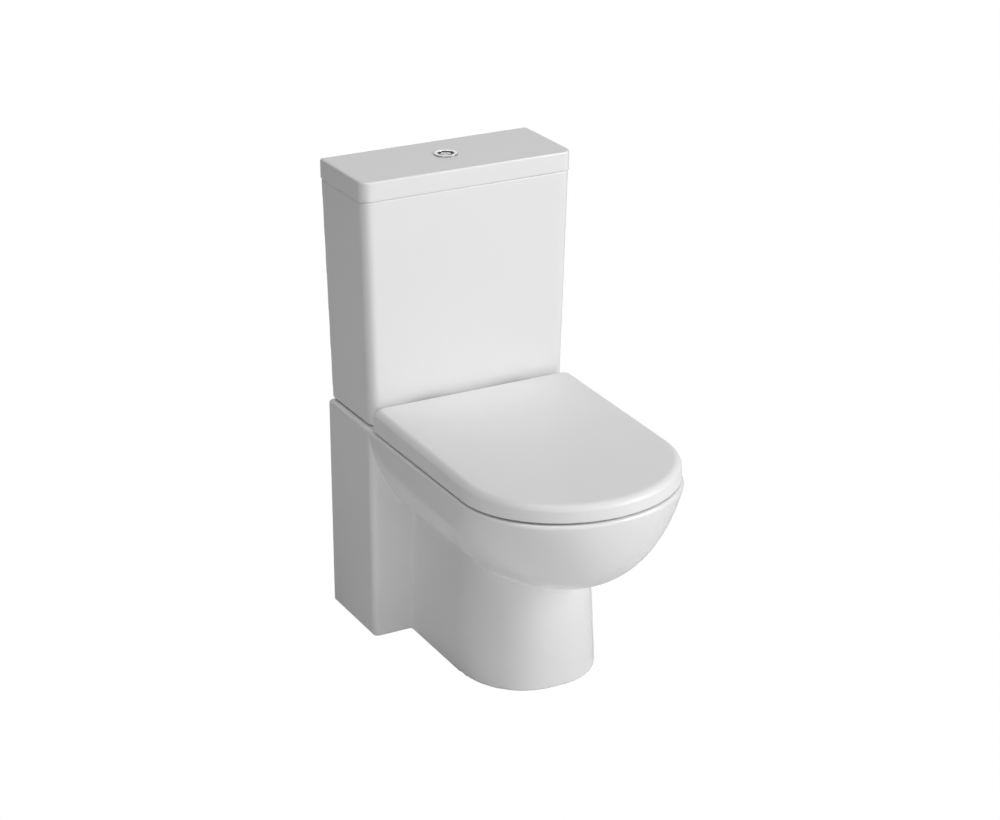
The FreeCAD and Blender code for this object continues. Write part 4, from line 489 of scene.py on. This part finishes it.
# The button's plate: the ring from the groove out over the rim is painted shade, standing in for
# the groove's shadow and the rim's dark reflections.
BUTTON_PLATE = PaintedShadeRingPlate("button_plate_painted_shade", (0.62, 0.62, 0.62), Sheen.GLOSSY, ripple_size=20 * MM,
                           ripple_height=0.01 * MM, tone_amount=0.0, gloss_amount=0.03,
                           inner=8.7 * MM, outer=15.0 * MM, painted_ring_shade=0.04)
# The bezel's plate: the ring along its outer edge is painted shade.
BEZEL_PLATE = PaintedShadeRingPlate("bezel_plate_painted_shade", (0.95, 0.95, 0.95), Sheen.GLASSY, ripple_size=20 * MM,
                          ripple_height=0.01 * MM, tone_amount=0.0, gloss_amount=0.03,
                          inner=19.6 * MM, outer=22.0 * MM, painted_ring_shade=0.30)
CHROME_PLATE = Metal("chrome_plate", (0.74, 0.75, 0.76), Sheen.GLASSY, ripple_size=20 * MM,
                     ripple_height=0.01 * MM, tone_amount=0.0, gloss_amount=0.03)


class Palette:
    """The materials of the finishes, each built once."""

    def __init__(self, effects: SharedEffects) -> None:
        """Keeps the shared effects for the materials to come."""
        self.effects = effects
        self.made: dict[str, bpy.types.Material] = {}

    def of(self, finish: Finish) -> bpy.types.Material:
        """Gives a finish's material, building it on first use.

        Args:
            finish: The finish.

        Returns:
            Its material.
        """
        if finish.name not in self.made:
            self.made[finish.name] = finish.material(self.effects)
        return self.made[finish.name]


# ---- meshes --------------------------------------------------------------------------------------
def new_object(name: str, mesh: bpy.types.Mesh) -> bpy.types.Object:
    """Puts a mesh into the scene.

    Args:
        name: Name of the object.
        mesh: Its mesh, in place.

    Returns:
        The new object.
    """
    made = bpy.data.objects.new(name, mesh)
    bpy.context.scene.collection.objects.link(made)
    return made


def mesh_of(sketch: bmesh.types.BMesh, name: str) -> bpy.types.Mesh:
    """Turns a sketch into a mesh and frees the sketch.

    Args:
        sketch: The sketch.
        name: Name of the mesh.

    Returns:
        The new mesh.
    """
    mesh = bpy.data.meshes.new(name)
    sketch.to_mesh(mesh)
    sketch.free()
    return mesh


def settled_mesh(thing: bpy.types.Object, name: str) -> bpy.types.Mesh:
    """Applies an object's modifiers.

    Args:
        thing: The object with the modifiers.
        name: Name of the new mesh.

    Returns:
        The mesh as its modifiers leave it.
    """
    bpy.context.view_layer.update()
    graph = bpy.context.evaluated_depsgraph_get()
    mesh = bpy.data.meshes.new_from_object(thing.evaluated_get(graph))
    mesh.name = name
    return mesh


def smooth(mesh: bpy.types.Mesh, crease: float = 32.0) -> None:
    """Shades a mesh smooth except over sharp edges.

    Args:
        mesh: The mesh.
        crease: Least angle of a sharp edge, in degrees.
    """
    mesh.polygons.foreach_set("use_smooth", [True] * len(mesh.polygons))
    mesh.set_sharp_from_angle(angle=math.radians(crease))


def paint_bare(thing: bpy.types.Object, rule: Callable[[Vector, Vector], bool]) -> None:
    """Writes the bare layer of a casting.

    Args:
        thing: The casting.
        rule: Says from a point's place and facing whether the body is bare there.
    """
    mesh = thing.data
    layer = mesh.attributes.new(BARE_LAYER, "FLOAT", "POINT")
    layer.data.foreach_set("value", [float(rule(v.co, v.normal)) for v in mesh.vertices])


def lathe(profile: list[tuple[float, float]], steps: int, centre: Vector) -> bmesh.types.BMesh:
    """Turns a profile about an upright axis.

    Args:
        profile: Radius and height of each point, from the axis outwards and back to the axis.
        steps: Number of steps round the turn.
        centre: Where the axis stands, with the height that the profile is measured from.

    Returns:
        The closed sketch.
    """
    sketch = bmesh.new()
    turn = [2 * math.pi * k / steps for k in range(steps)]
    rings = []
    for radius, height in profile:
        if radius == 0.0:
            rings.append([sketch.verts.new(centre + Vector((0, 0, height)))])
            continue
        places = [Vector((radius * math.cos(t), radius * math.sin(t), height)) for t in turn]
        rings.append([sketch.verts.new(centre + place) for place in places])
    for low, high in zip(rings, rings[1:]):
        for k in range(steps):
            corners = [low[k % len(low)], low[(k + 1) % len(low)],
                       high[(k + 1) % len(high)], high[k % len(high)]]
            unique = list(dict.fromkeys(corners))
            if len(unique) > 2:
                sketch.faces.new(unique)
    bmesh.ops.recalc_face_normals(sketch, faces=sketch.faces)
    return sketch


def arc(x: float, z: float, radius: float, start: float, end: float, steps: int = 5
        ) -> list[tuple[float, float]]:
    """Points on a round of a profile.

    Args:
        x: Radius of the round's centre from the axis.
        z: Height of the round's centre.
        radius: Radius of the round.
        start: First angle in degrees, 0 outwards and 90 upwards.
        end: Last angle in degrees.
        steps: Number of steps between them.

    Returns:
        The points in order.
    """
    turn = [math.radians(start + (end - start) * k / steps) for k in range(steps + 1)]
    return [(x + radius * math.cos(t), z + radius * math.sin(t)) for t in turn]


@dataclass(frozen=True)
class Thread:
    """A raised helical thread round an upright tail."""

    name: str
    radius: float
    low: float
    high: float
    pitch: float
    steps: int
    height: float = 0.3 * MM
    sunk: float = 0.1 * MM
    root_share: float = 0.44
    crest_share: float = 0.08

    def build(self, centre: tuple[float, float], body: str, material: bpy.types.Material
              ) -> bpy.types.Object:
        """Winds the thread, which rises from nothing and runs out again over a turn at each end.

        Args:
            centre: Where the tail's axis stands in plan.
            body: Body that the thread moves with.
            material: Its material.

        Returns:
            The new object.
        """
        count = int((self.high - self.low - self.pitch) / self.pitch * self.steps)
        root = self.radius - self.sunk
        root_half = self.root_share * self.pitch
        crest_half = self.crest_share * self.pitch
        sketch = bmesh.new()
        rows = []
        for k in range(count + 1):
            t = 2 * math.pi * k / self.steps
            z = self.low + self.pitch / 2 + self.pitch * k / self.steps
            fade = min(1.0, k / self.steps, (count - k) / self.steps)
            crest = root + (self.height + self.sunk) * fade
            section = [(root, -root_half), (crest, -crest_half), (crest, crest_half),
                       (root, root_half)]
            places = [(centre[0] + r * math.cos(t), centre[1] + r * math.sin(t), z + d)
                      for r, d in section]
            rows.append([sketch.verts.new(place) for place in places])
        for first, second in zip(rows, rows[1:]):
            for k in range(len(first)):
                after = (k + 1) % len(first)
                sketch.faces.new((first[k], first[after], second[after], second[k]))
        sketch.faces.new(rows[0])
        sketch.faces.new(rows[-1])
        bmesh.ops.recalc_face_normals(sketch, faces=sketch.faces)
        mesh = mesh_of(sketch, self.name)
        smooth(mesh)
        mesh.materials.append(material)
        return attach(new_object(self.name, mesh), body)


# ---- workshop ------------------------------------------------------------------------------------
class Edge(Enum):
    """How far a small piece's sharp edges are broken."""

    WIRE = 0.02 * MM
    FINE = 0.2 * MM
    MACHINED = 0.3 * MM
    MOULDED = 0.4 * MM
    EASED = 0.5 * MM
    POLISHED = 0.6 * MM
    PRESSED = 0.7 * MM
    SOFT = 0.8 * MM


@dataclass(frozen=True)
class Dressing:
    """How a small piece is dressed."""

    finish: Finish
    slot: str
    edge: Edge
    nodes: tuple[str, ...]


@dataclass
class Workshop:
    """Makes dressed pieces from the frame's nodes.

    The weld and the flat angle join what meshing split, and the sharp angle picks the edges to
    break.  Angles are in degrees.
    """

    nodes: dict[str, bpy.types.Object]
    palette: Palette
    smoothing: float = 0.5
    weld: float = 0.005 * MM
    flat_angle: float = 0.6
    sharp_angle: float = 38.0
    edge_segments: int = 2
    edge_fullness: float = 0.6

    def body(self, node: str) -> str:
        """Name of the body that a node moves with."""
        return self.nodes[node]["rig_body"]

    def place(self, node: str) -> tuple[Vector, Vector]:
        """Lowest and highest corner of a node."""
        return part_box(node)

    def axis(self, node: str) -> tuple[float, float]:
        """Where the upright axis through a node's middle stands in plan."""
        low, high = self.place(node)
        return ((low.x + high.x) / 2, (low.y + high.y) / 2)

    def finished(self, name: str, mesh: bpy.types.Mesh, finish: Finish,
                 nodes: tuple[str, ...]) -> bpy.types.Object:
        """Dresses a mesh and lets it stand for its nodes.

        Args:
            name: Name of the piece.
            mesh: Its mesh, in place.
            finish: Its finish.
            nodes: Nodes that it stands for.

        Returns:
            The new object.
        """
        mesh.materials.clear()
        mesh.materials.append(self.palette.of(finish))
        mesh.polygons.foreach_set("material_index", [0] * len(mesh.polygons))
        made = new_object(name, mesh)
        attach(made, self.body(nodes[0]))
        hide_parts(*nodes)
        LOG.info("%s: %d faces", name, len(mesh.polygons))
        return made

    def cast(self, name: str, nodes: tuple[str, ...], finish: Finish, grain: float,
             passes: int) -> bpy.types.Object:
        """Makes a cast or moulded piece, with every edge softly rounded.

        Args:
            name: Name of the piece.
            nodes: Nodes that it stands for.
            finish: Its finish.
            grain: Size of the finest detail that is kept.
            passes: How often the skin is smoothed.

        Returns:
            The new object.
        """
        sketch = bmesh.new()
        for node in nodes:
            sketch.from_mesh(self.nodes[node].data)
        rough = new_object(name + "_rough", mesh_of(sketch, name + "_rough"))
        skin = rough.modifiers.new("skin", "REMESH")
        skin.mode = "VOXEL"
        skin.voxel_size = grain
        skin.use_smooth_shade = True
        soft = rough.modifiers.new("soft", "SMOOTH")
        soft.factor = self.smoothing
        soft.iterations = passes
        mesh = settled_mesh(rough, name)
        bpy.data.objects.remove(rough)
        return self.finished(name, mesh, finish, nodes)

    def softened(self, node: str, finish: Finish, edge: Edge) -> bpy.types.Object:
        """Makes a small piece with its sharp edges slightly broken.

        Args:
            node: Node that it stands for.
            finish: Its finish.
            edge: How far its edges are broken.

        Returns:
            The new object.
        """
        sketch = bmesh.new()
        sketch.from_mesh(self.nodes[node].data)
        bmesh.ops.remove_doubles(sketch, verts=sketch.verts, dist=self.weld)
        bmesh.ops.dissolve_limit(sketch, angle_limit=math.radians(self.flat_angle),
                                 verts=sketch.verts, edges=sketch.edges)
        folds = [e for e in sketch.edges if len(e.link_faces) == 2]
        sharp = [e for e in folds if e.calc_face_angle(0.0) > math.radians(self.sharp_angle)]
        bmesh.ops.bevel(sketch, geom=sharp, offset=edge.value, segments=self.edge_segments,
                        profile=self.edge_fullness, affect="EDGES", clamp_overlap=True)
        mesh = mesh_of(sketch, node + "_soft")
        smooth(mesh)
        return self.finished(node + "_soft", mesh, finish, (node,))

    def dress(self, rows: tuple[Dressing, ...]) -> None:
        """Softens and dresses the pieces of each row.

        Args:
            rows: The rows.
        """
        for row in rows:
            for node in row.nodes:
                self.softened(node, row.finish, row.edge)


# ---- studio --------------------------------------------------------------------------------------
@dataclass(frozen=True)
class Softbox:
    """A square lamp that faces the middle of the object."""

    name: str
    place: tuple[float, float, float]
    size: float
    power: float

    def hang(self, aim_height: float) -> None:
        """Hangs the lamp so that it faces a point above the origin.

        Args:
            aim_height: Height of that point.
        """
        lamp = bpy.data.lights.new(self.name, "AREA")
        lamp.size = self.size
        lamp.energy = self.power
        made = bpy.data.objects.new(self.name, lamp)
        made.location = self.place
        aim = Vector((0, 0, aim_height)) - Vector(self.place)
        made.rotation_mode = "QUATERNION"
        made.rotation_quaternion = aim.to_track_quat("-Z", "Y")
        bpy.context.scene.collection.objects.link(made)


@dataclass
class Studio:
    """Floor, lamps, surroundings and the camera.  Angles are in degrees."""

    eye: tuple[float, float, float] = (-1.8659, -3.4015, 2.0489)
    yaw: float = -28.30
    pitch: float = 22.45
    roll: float = -0.05
    lens: float = 92.26
    sensor: float = 36.0
    floor_reach: float = 30.0
    floor_shade: float = 0.9
    floor_roughness: float = 0.9
    surround: float = 0.02
    aim_height: float = 0.42
    lamps: tuple[Softbox, ...] = (
        Softbox("key_lamp", (4.7, -4.4, 3.1), 4.2, 303.0),
        Softbox("left_lamp", (-4.6, -3.6, 1.6), 4.0, 54.0),
        Softbox("front_lamp", (0.3, -6.0, 1.3), 4.0, 36.0),
        Softbox("top_lamp", (-0.6, -1.2, 5.5), 4.0, 105.0),
    )

    def build(self) -> None:
        """Builds the studio."""
        self._floor()
        self._surroundings()
        for lamp in self.lamps:
            lamp.hang(self.aim_height)
        self._camera()
        bpy.context.scene.view_settings.view_transform = "Standard"

    def _floor(self) -> None:
        """Lays the pale floor, which shows white to the camera and keeps the shadow."""
        r = self.floor_reach
        mesh = bpy.data.meshes.new("floor")
        mesh.from_pydata([(-r, -r, 0), (r, -r, 0), (r, r, 0), (-r, r, 0)], [], [(0, 1, 2, 3)])
        paint = bpy.data.materials.new("pale_floor")
        paint.use_nodes = True
        tree = paint.node_tree
        shader = tree.nodes["Principled BSDF"]
        shade = self.floor_shade
        shader.inputs["Base Color"].default_value = (shade, shade, shade, 1.0)
        shader.inputs["Roughness"].default_value = self.floor_roughness
        white = add_node(tree, "ShaderNodeEmission")
        path = add_node(tree, "ShaderNodeLightPath")
        choice = add_node(tree, "ShaderNodeMixShader")
        tree.links.new(path.outputs["Is Camera Ray"], choice.inputs[0])
        tree.links.new(shader.outputs[0], choice.inputs[1])
        tree.links.new(white.outputs[0], choice.inputs[2])
        tree.links.new(choice.outputs[0], tree.nodes["Material Output"].inputs["Surface"])
        mesh.materials.append(paint)
        new_object("floor", mesh)

    def _surroundings(self) -> None:
        """Makes a plain world that shows white to the camera and in reflections."""
        world = bpy.data.worlds.new("plain_studio")
        bpy.context.scene.world = world
        world.use_nodes = True
        tree = world.node_tree
        tree.nodes.clear()
        out = add_node(tree, "ShaderNodeOutputWorld")
        glow = add_node(tree, "ShaderNodeBackground")
        path = add_node(tree, "ShaderNodeLightPath")
        seen = add_node(tree, "ShaderNodeMath", operation="MAXIMUM")
        strength = add_node(tree, "ShaderNodeMapRange", {"To Min": self.surround, "To Max": 1.0})
        tree.links.new(path.outputs["Is Camera Ray"], seen.inputs[0])
        tree.links.new(path.outputs["Is Glossy Ray"], seen.inputs[1])
        tree.links.new(seen.outputs[0], strength.inputs["Value"])
        tree.links.new(strength.outputs["Result"], glow.inputs["Strength"])
        tree.links.new(glow.outputs[0], out.inputs["Surface"])

    def _camera(self) -> None:
        """Stands the camera where the object is seen from."""
        a, e, r = (math.radians(angle) for angle in (self.yaw, self.pitch, self.roll))
        back = Vector((math.sin(a) * math.cos(e), -math.cos(a) * math.cos(e), math.sin(e)))
        level = (-back).cross(Vector((0, 0, 1))).normalized()
        upright = level.cross(-back)
        right = level * math.cos(r) + upright * math.sin(r)
        up = upright * math.cos(r) - level * math.sin(r)
        lens = bpy.data.cameras.new("camera")
        lens.lens = self.lens
        lens.sensor_width = self.sensor
        camera = bpy.data.objects.new("camera", lens)
        turn = Matrix((right, up, back)).transposed().to_4x4()
        camera.matrix_world = Matrix.Translation(Vector(self.eye)) @ turn
        bpy.context.scene.collection.objects.link(camera)
        bpy.context.scene.camera = camera


# ---- the object ----------------------------------------------------------------------------------
@dataclass
class PanCasting:
    """The glazed pan with its shroud, bowl, pedestal, trap and outlet in one casting."""

    grain: float = 2.1 * MM
    passes: int = 2
    wall: float = 12 * MM
    glaze_turn: float = 2 * MM       # how far the outside's glaze reaches round into the shroud
    room_depth: float = 40 * MM      # shroud's front wall with the bowl's root behind it
    foot_band: float = 3 * MM        # height of the unglazed foot
    back_band: float = 1 * MM        # depth of the unglazed edge at the wall
    underside: float = -0.3          # upright part of the facing below which a face looks down
    blocks: tuple[str, ...] = ("pan_shroud", "pan_rim_rear", "pan_rim_sides", "pan_rim_front",
                               "pan_bowl", "pan_foot", "pan_trap", "pan_outlet")

    def build(self, shop: Workshop) -> None:
        """Casts the pan and leaves its foot and the shroud's room bare.

        Args:
            shop: The workshop.
        """
        casting = shop.cast("glazed_pan", self.blocks, WHITE_GLAZE, self.grain,
                            self.passes)
        low, high = shop.place("pan_shroud")
        half = high.x - self.wall + self.glaze_turn
        front = low.y + self.room_depth
        top = high.z - self.wall
        back = high.y - self.back_band

        def bare(place: Vector, facing: Vector) -> bool:
            """Says where the pan is bare.

            Args:
                place: A point of its skin.
                facing: Which way the skin faces there.

            Returns:
                Whether the point is bare.
            """
            foot = place.z < self.foot_band and facing.z < self.underside
            inside = abs(place.x) < half and place.y > front and place.z < top
            return foot or inside or place.y > back

        paint_bare(casting, bare)


@dataclass
class CisternCasting:
    """The glazed cistern and its lid."""

    grain: float = 1.8 * MM
    passes: int = 5
    lid_grain: float = 1.3 * MM
    lid_passes: int = 3
    wiped: float = 1.5 * MM          # band at the back and the foot where the glaze is wiped off
    lid_band: float = 2 * MM         # lid's underside, up to this far above the cistern's edge
    seam_glaze: float = 5 * MM       # glazed edge of that underside
    backwards: float = 0.5           # parts of the facing beyond which a face looks back or down
    downwards: float = -0.6

    def build(self, shop: Workshop) -> None:
        """Casts the cistern and the lid, bare where they meet the wall and each other.

        Args:
            shop: The workshop.
        """
        tank = shop.cast("glazed_cistern", ("cistern",), WHITE_GLAZE, self.grain,
                         self.passes)
        lid = shop.cast("glazed_lid", ("cistern_lid",), WHITE_GLAZE,
                        self.lid_grain, self.lid_passes)
        low, high = shop.place("cistern")
        lid_low, lid_high = shop.place("cistern_lid")
        half = lid_high.x - self.seam_glaze
        front = lid_low.y + self.seam_glaze

        def tank_bare(place: Vector, facing: Vector) -> bool:
            """Whether the cistern is bare at a point."""
            behind = place.y > high.y - self.wiped and facing.y > self.backwards
            return behind or place.z < low.z + self.wiped

        def lid_bare(place: Vector, facing: Vector) -> bool:
            """Whether the lid is bare at a point."""
            under = facing.z < self.downwards and place.z < high.z + self.lid_band
            return under and abs(place.x) <= half and place.y >= front

        paint_bare(tank, tank_bare)
        paint_bare(lid, lid_bare)


@dataclass
class SeatMouldings:
    """Seat ring and wrap over cover with their buffers and hinges."""

    ring_grain: float = 1.8 * MM
    ring_passes: int = 6
    cover_grain: float = 1.3 * MM
    cover_passes: int = 2
    bolt_r: float = 4 * MM
    thread_length: float = 40 * MM
    thread_pitch: float = 1.25 * MM
    thread_steps: int = 28
    ring_blocks: tuple[str, ...] = ("seat_ring_rear", "seat_ring_sides", "seat_ring_front")
    cover_blocks: tuple[str, ...] = ("seat_cover", "cover_rear_middle", "cover_rear_hinges",
                                     "cover_rear_corners")
    small: tuple[Dressing, ...] = (
        Dressing(CLEAR_RUBBER, "rubber", Edge.SOFT, ("ring_buffers", "cover_buffers")),
        Dressing(BLACK_RUBBER, "rubber", Edge.EASED, ("seat_bushes",)),
        Dressing(FITTING_PLASTIC, "white_plastic", Edge.MOULDED, ("seat_nuts",)),
        Dressing(CHROME_PLATE, "chrome", Edge.POLISHED, ("hinge_posts",)),
        Dressing(DRAWN_STEEL, "steel", Edge.MACHINED, ("hinge_pins", "seat_bolts")),
        Dressing(GREY_PLASTIC, "grey_plastic", Edge.EASED, ("soft_close_dampers",)),
    )

    def build(self, shop: Workshop) -> None:
        """Moulds the ring and the cover and dresses their hinges.

        Args:
            shop: The workshop.
        """
        shop.cast("moulded_ring", self.ring_blocks, SEAT_MOULDING,
                  self.ring_grain, self.ring_passes)
        shop.cast("moulded_cover", self.cover_blocks, SEAT_MOULDING,
                  self.cover_grain, self.cover_passes)
        shop.dress(self.small)
        low, high = shop.place("seat_bolts")
        head_r = (high.y - low.y) / 2
        for side, word in ((-1, "left"), (1, "right")):
            thread = Thread("seat_bolt_thread_" + word, self.bolt_r, low.z,
                            low.z + self.thread_length, self.thread_pitch, self.thread_steps)
            thread.build((side * (high.x - head_r), (low.y + high.y) / 2), "root",
                         shop.palette.of(DRAWN_STEEL))


@dataclass
class FlushButton:
    """Two part push button in its bezel, with the rods and springs under it."""

    button_r: float = 13.7 * MM
    steps: int = 96
    crease: float = 50.0
    split: float = 2.4 * MM          # parting of the halves to the right of the middle
    gap: float = 0.6 * MM
    edge_round: float = 0.6 * MM
    rim_width: float = 1.3 * MM      # rim with its inner slope, which starts this far down
    rim_start: float = 0.55 * MM
    groove: float = 1.7 * MM         # depth of the sunk ring at the raised middle
    groove_slope: float = 0.15 * MM
    groove_width: float = 1.6 * MM
    puck_r: float = 9.0 * MM
    puck_drop: float = 0.4 * MM      # raised middle below the rim, and its shallow dish
    dish_inset: float = 2.0 * MM
    dish_edge: float = 0.45 * MM
    dish_middle: float = 0.55 * MM
    travel: float = 9 * MM
    tube_r: float = 16.5 * MM
    thread_foot: float = 1 * MM
    thread_top: float = 26 * MM
    thread_pitch: float = 2 * MM
    thread_steps: int = 64
    small: tuple[Dressing, ...] = (
        Dressing(FITTING_PLASTIC, "white_plastic", Edge.EASED, ("button_clamp_nut",)),
        Dressing(FITTING_PLASTIC, "white_plastic", Edge.MACHINED,
                 ("full_push_rod", "half_push_rod")),
    )

    def build(self, shop: Workshop) -> None:
        """Turns the bezel and both halves of the button and dresses what is under them.

        Args:
            shop: The workshop.
        """
        self._bezel(shop)
        self._half(shop, "full_flush_button", -1)
        self._half(shop, "half_flush_button", 1)
        shop.dress(self.small)
        for name in ("full", "half"):
            self._spring(shop, name)

    def _bezel(self, shop: Workshop) -> None:
        """Breaks the edges of the bezel and its tube and adds the tube's thread.

        Args:
            shop: The workshop.
        """
        foot = shop.place("button_housing")[0].z
        centre = shop.axis("button_housing")
        # The bezel's plating carries a ring of painted shade along its edge, centred on the bezel's
        # axis.
        plate = replace(BEZEL_PLATE, centre=centre)
        shop.softened("button_housing", plate, Edge.PRESSED)
        thread = Thread("housing_thread", self.tube_r, foot + self.thread_foot,
                        foot + self.thread_top, self.thread_pitch, self.thread_steps)
        thread.build(centre, shop.body("button_housing"), shop.palette.of(CHROME_PLATE))

    def _profile(self, depth: float) -> list[tuple[float, float]]:
        """Outline of the button: a dished middle, a sunk ring and a rim.

        Args:
            depth: Height of the whole button.

        Returns:
            Radius and height of each point, measured from the top of the rim.
        """
        r = self.edge_round
        points = [(0.0, -self.dish_middle), (self.puck_r - self.dish_inset, -self.dish_edge)]
        points += arc(self.puck_r - r, -self.puck_drop - r, r, 80, 0)
        points += [(self.puck_r + self.groove_slope, -self.groove),
                   (self.puck_r + self.groove_width, -self.groove - self.groove_slope),
                   (self.button_r - self.rim_width, -self.rim_start)]
        points += arc(self.button_r - r, -r, r, 100, 0)
        return points + [(self.button_r, -depth), (0.0, -depth)]

    def _half(self, shop: Workshop, node: str, side: int) -> None:
        """Turns one half of the button.

        Args:
            shop: The workshop.
            node: The half's node.
            side: -1 for the left half and 1 for the right one.
        """
        low, high = shop.place(node)
        axis = shop.axis("button_housing")
        sketch = lathe(self._profile(high.z - low.z), self.steps, Vector((*axis, high.z)))
        parting = (self.split + side * self.gap / 2, 0, 0)
        everything = sketch.verts[:] + sketch.edges[:] + sketch.faces[:]
        cut = bmesh.ops.bisect_plane(sketch, geom=everything, plane_co=parting,
                                     plane_no=(-side, 0, 0), clear_outer=True)
        rim = [e for e in cut["geom_cut"] if isinstance(e, bmesh.types.BMEdge)]
        bmesh.ops.contextual_create(sketch, geom=rim)
        mesh = mesh_of(sketch, node + "_dished")
        smooth(mesh, self.crease)
        # The button's plating carries a ring of painted shade over its groove and rim, centred on
        # the bezel's axis.
        shop.finished(node + "_dished", mesh, replace(BUTTON_PLATE, centre=axis), (node,))

    def _spring(self, shop: Workshop, name: str) -> None:
        """Dresses a return spring.

        Args:
            shop: The workshop.
            name: Which flush it belongs to, full or half.
        """
        node = name + "_flush_spring"
        coil = shop.softened(node, DRAWN_STEEL, Edge.WIRE)
        low, high = shop.place(node)
        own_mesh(coil)


@dataclass
class FlushGear:
    """Flush valve with its overflow, seal, float and the rockers that lift them."""

    tail_r: float = 29.8 * MM
    thread_end: float = 1 * MM       # thread short of the tail's foot and of the nut's top
    thread_pitch: float = 3 * MM
    thread_steps: int = 96
    small: tuple[Dressing, ...] = (
        Dressing(FITTING_PLASTIC, "white_plastic", Edge.EASED,
                 ("flush_valve_body", "flush_valve_back_nut", "overflow_tube", "stem_float",
                  "full_flush_rocker", "half_flush_rocker")),
        Dressing(TURNED_BRASS, "brass", Edge.MACHINED, ("rocker_pins",)),
        Dressing(BLUE_PLASTIC, "rubber", Edge.EASED, ("flush_seal",)),
        Dressing(BLACK_RUBBER, "rubber", Edge.MOULDED, ("flush_valve_washer",)),
    )

    def build(self, shop: Workshop) -> None:
        """Dresses the flush valve's pieces and adds its tail's thread.

        Args:
            shop: The workshop.
        """
        shop.dress(self.small)
        foot = shop.place("flush_valve_body")[0].z
        nut_top = shop.place("flush_valve_back_nut")[1].z
        thread = Thread("valve_tail_thread", self.tail_r, foot + self.thread_end,
                        nut_top - self.thread_end, self.thread_pitch, self.thread_steps)
        thread.build(shop.axis("flush_valve_back_nut"), "root", shop.palette.of(FITTING_PLASTIC))


@dataclass
class FillGear:
    """Fill valve with its float, lever and silencer."""

    tail_r: float = 10.4 * MM
    thread_foot: float = 1 * MM
    thread_top: float = 0.5 * MM     # thread short of the nut's underside
    thread_pitch: float = 1.8 * MM
    thread_steps: int = 48
    small: tuple[Dressing, ...] = (
        Dressing(FITTING_PLASTIC, "white_plastic", Edge.MOULDED,
                 ("fill_valve_body", "fill_valve_head", "fill_valve_back_nut", "lever_arm",
                  "float_cup", "link_rod", "silencer_tube")),
        Dressing(TURNED_BRASS, "brass", Edge.FINE, ("lever_pin",)),
        Dressing(BLACK_RUBBER, "rubber", Edge.MOULDED, ("fill_valve_washer",)),
    )

    def build(self, shop: Workshop) -> None:
        """Dresses the fill valve's pieces and adds its tail's thread.

        Args:
            shop: The workshop.
        """
        shop.dress(self.small)
        foot = shop.place("fill_valve_body")[0].z
        nut_foot = shop.place("fill_valve_back_nut")[0].z
        thread = Thread("inlet_tail_thread", self.tail_r, foot + self.thread_foot,
                        nut_foot - self.thread_top, self.thread_pitch, self.thread_steps)
        thread.build(shop.axis("fill_valve_back_nut"), "root", shop.palette.of(FITTING_PLASTIC))


@dataclass
class CouplingSet:
    """Seal, bolts and wing nuts that hold the cistern down on the pan."""

    bolt_r: float = 4 * MM
    thread_foot: float = 0.5 * MM
    thread_top: float = 34 * MM
    thread_pitch: float = 1.25 * MM
    thread_steps: int = 28
    small: tuple[Dressing, ...] = (
        Dressing(BLACK_RUBBER, "rubber", Edge.SOFT, ("coupling_seal",)),
        Dressing(BLACK_RUBBER, "rubber", Edge.MOULDED, ("coupling_bolt_seals",)),
        Dressing(TURNED_BRASS, "brass", Edge.MACHINED, ("coupling_bolts",)),
        Dressing(TURNED_BRASS, "brass", Edge.MOULDED, ("wing_nuts",)),
        Dressing(DRAWN_STEEL, "steel", Edge.MACHINED, ("shelf_washers",)),
    )

    def build(self, shop: Workshop) -> None:
        """Dresses the coupling pieces and adds the bolts' threads.

        Args:
            shop: The workshop.
        """
        shop.dress(self.small)
        foot = shop.place("coupling_bolts")[0].z
        low, high = shop.place("shelf_washers")
        washer_r = (high.y - low.y) / 2
        for side, word in ((-1, "left"), (1, "right")):
            thread = Thread("coupling_thread_" + word, self.bolt_r, foot + self.thread_foot,
                            foot + self.thread_top, self.thread_pitch, self.thread_steps)
            thread.build((side * (high.x - washer_r), (low.y + high.y) / 2), "root",
                         shop.palette.of(TURNED_BRASS))


def main() -> None:
    logging.basicConfig(level=logging.INFO, format="%(name)s %(message)s")
    for name in [o.name for o in bpy.data.objects]:
        bpy.data.objects.remove(bpy.data.objects[name])
    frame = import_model()
    shop = Workshop(frame["nodes"], Palette(SharedEffects()))
    assemblies = (PanCasting(), CisternCasting(), SeatMouldings(), FlushButton(), FlushGear(),
                  FillGear(), CouplingSet())
    for assembly in assemblies:
        LOG.info("building %s", type(assembly).__name__)
        assembly.build(shop)
    Studio().build()


if __name__ == "__main__":
    main()
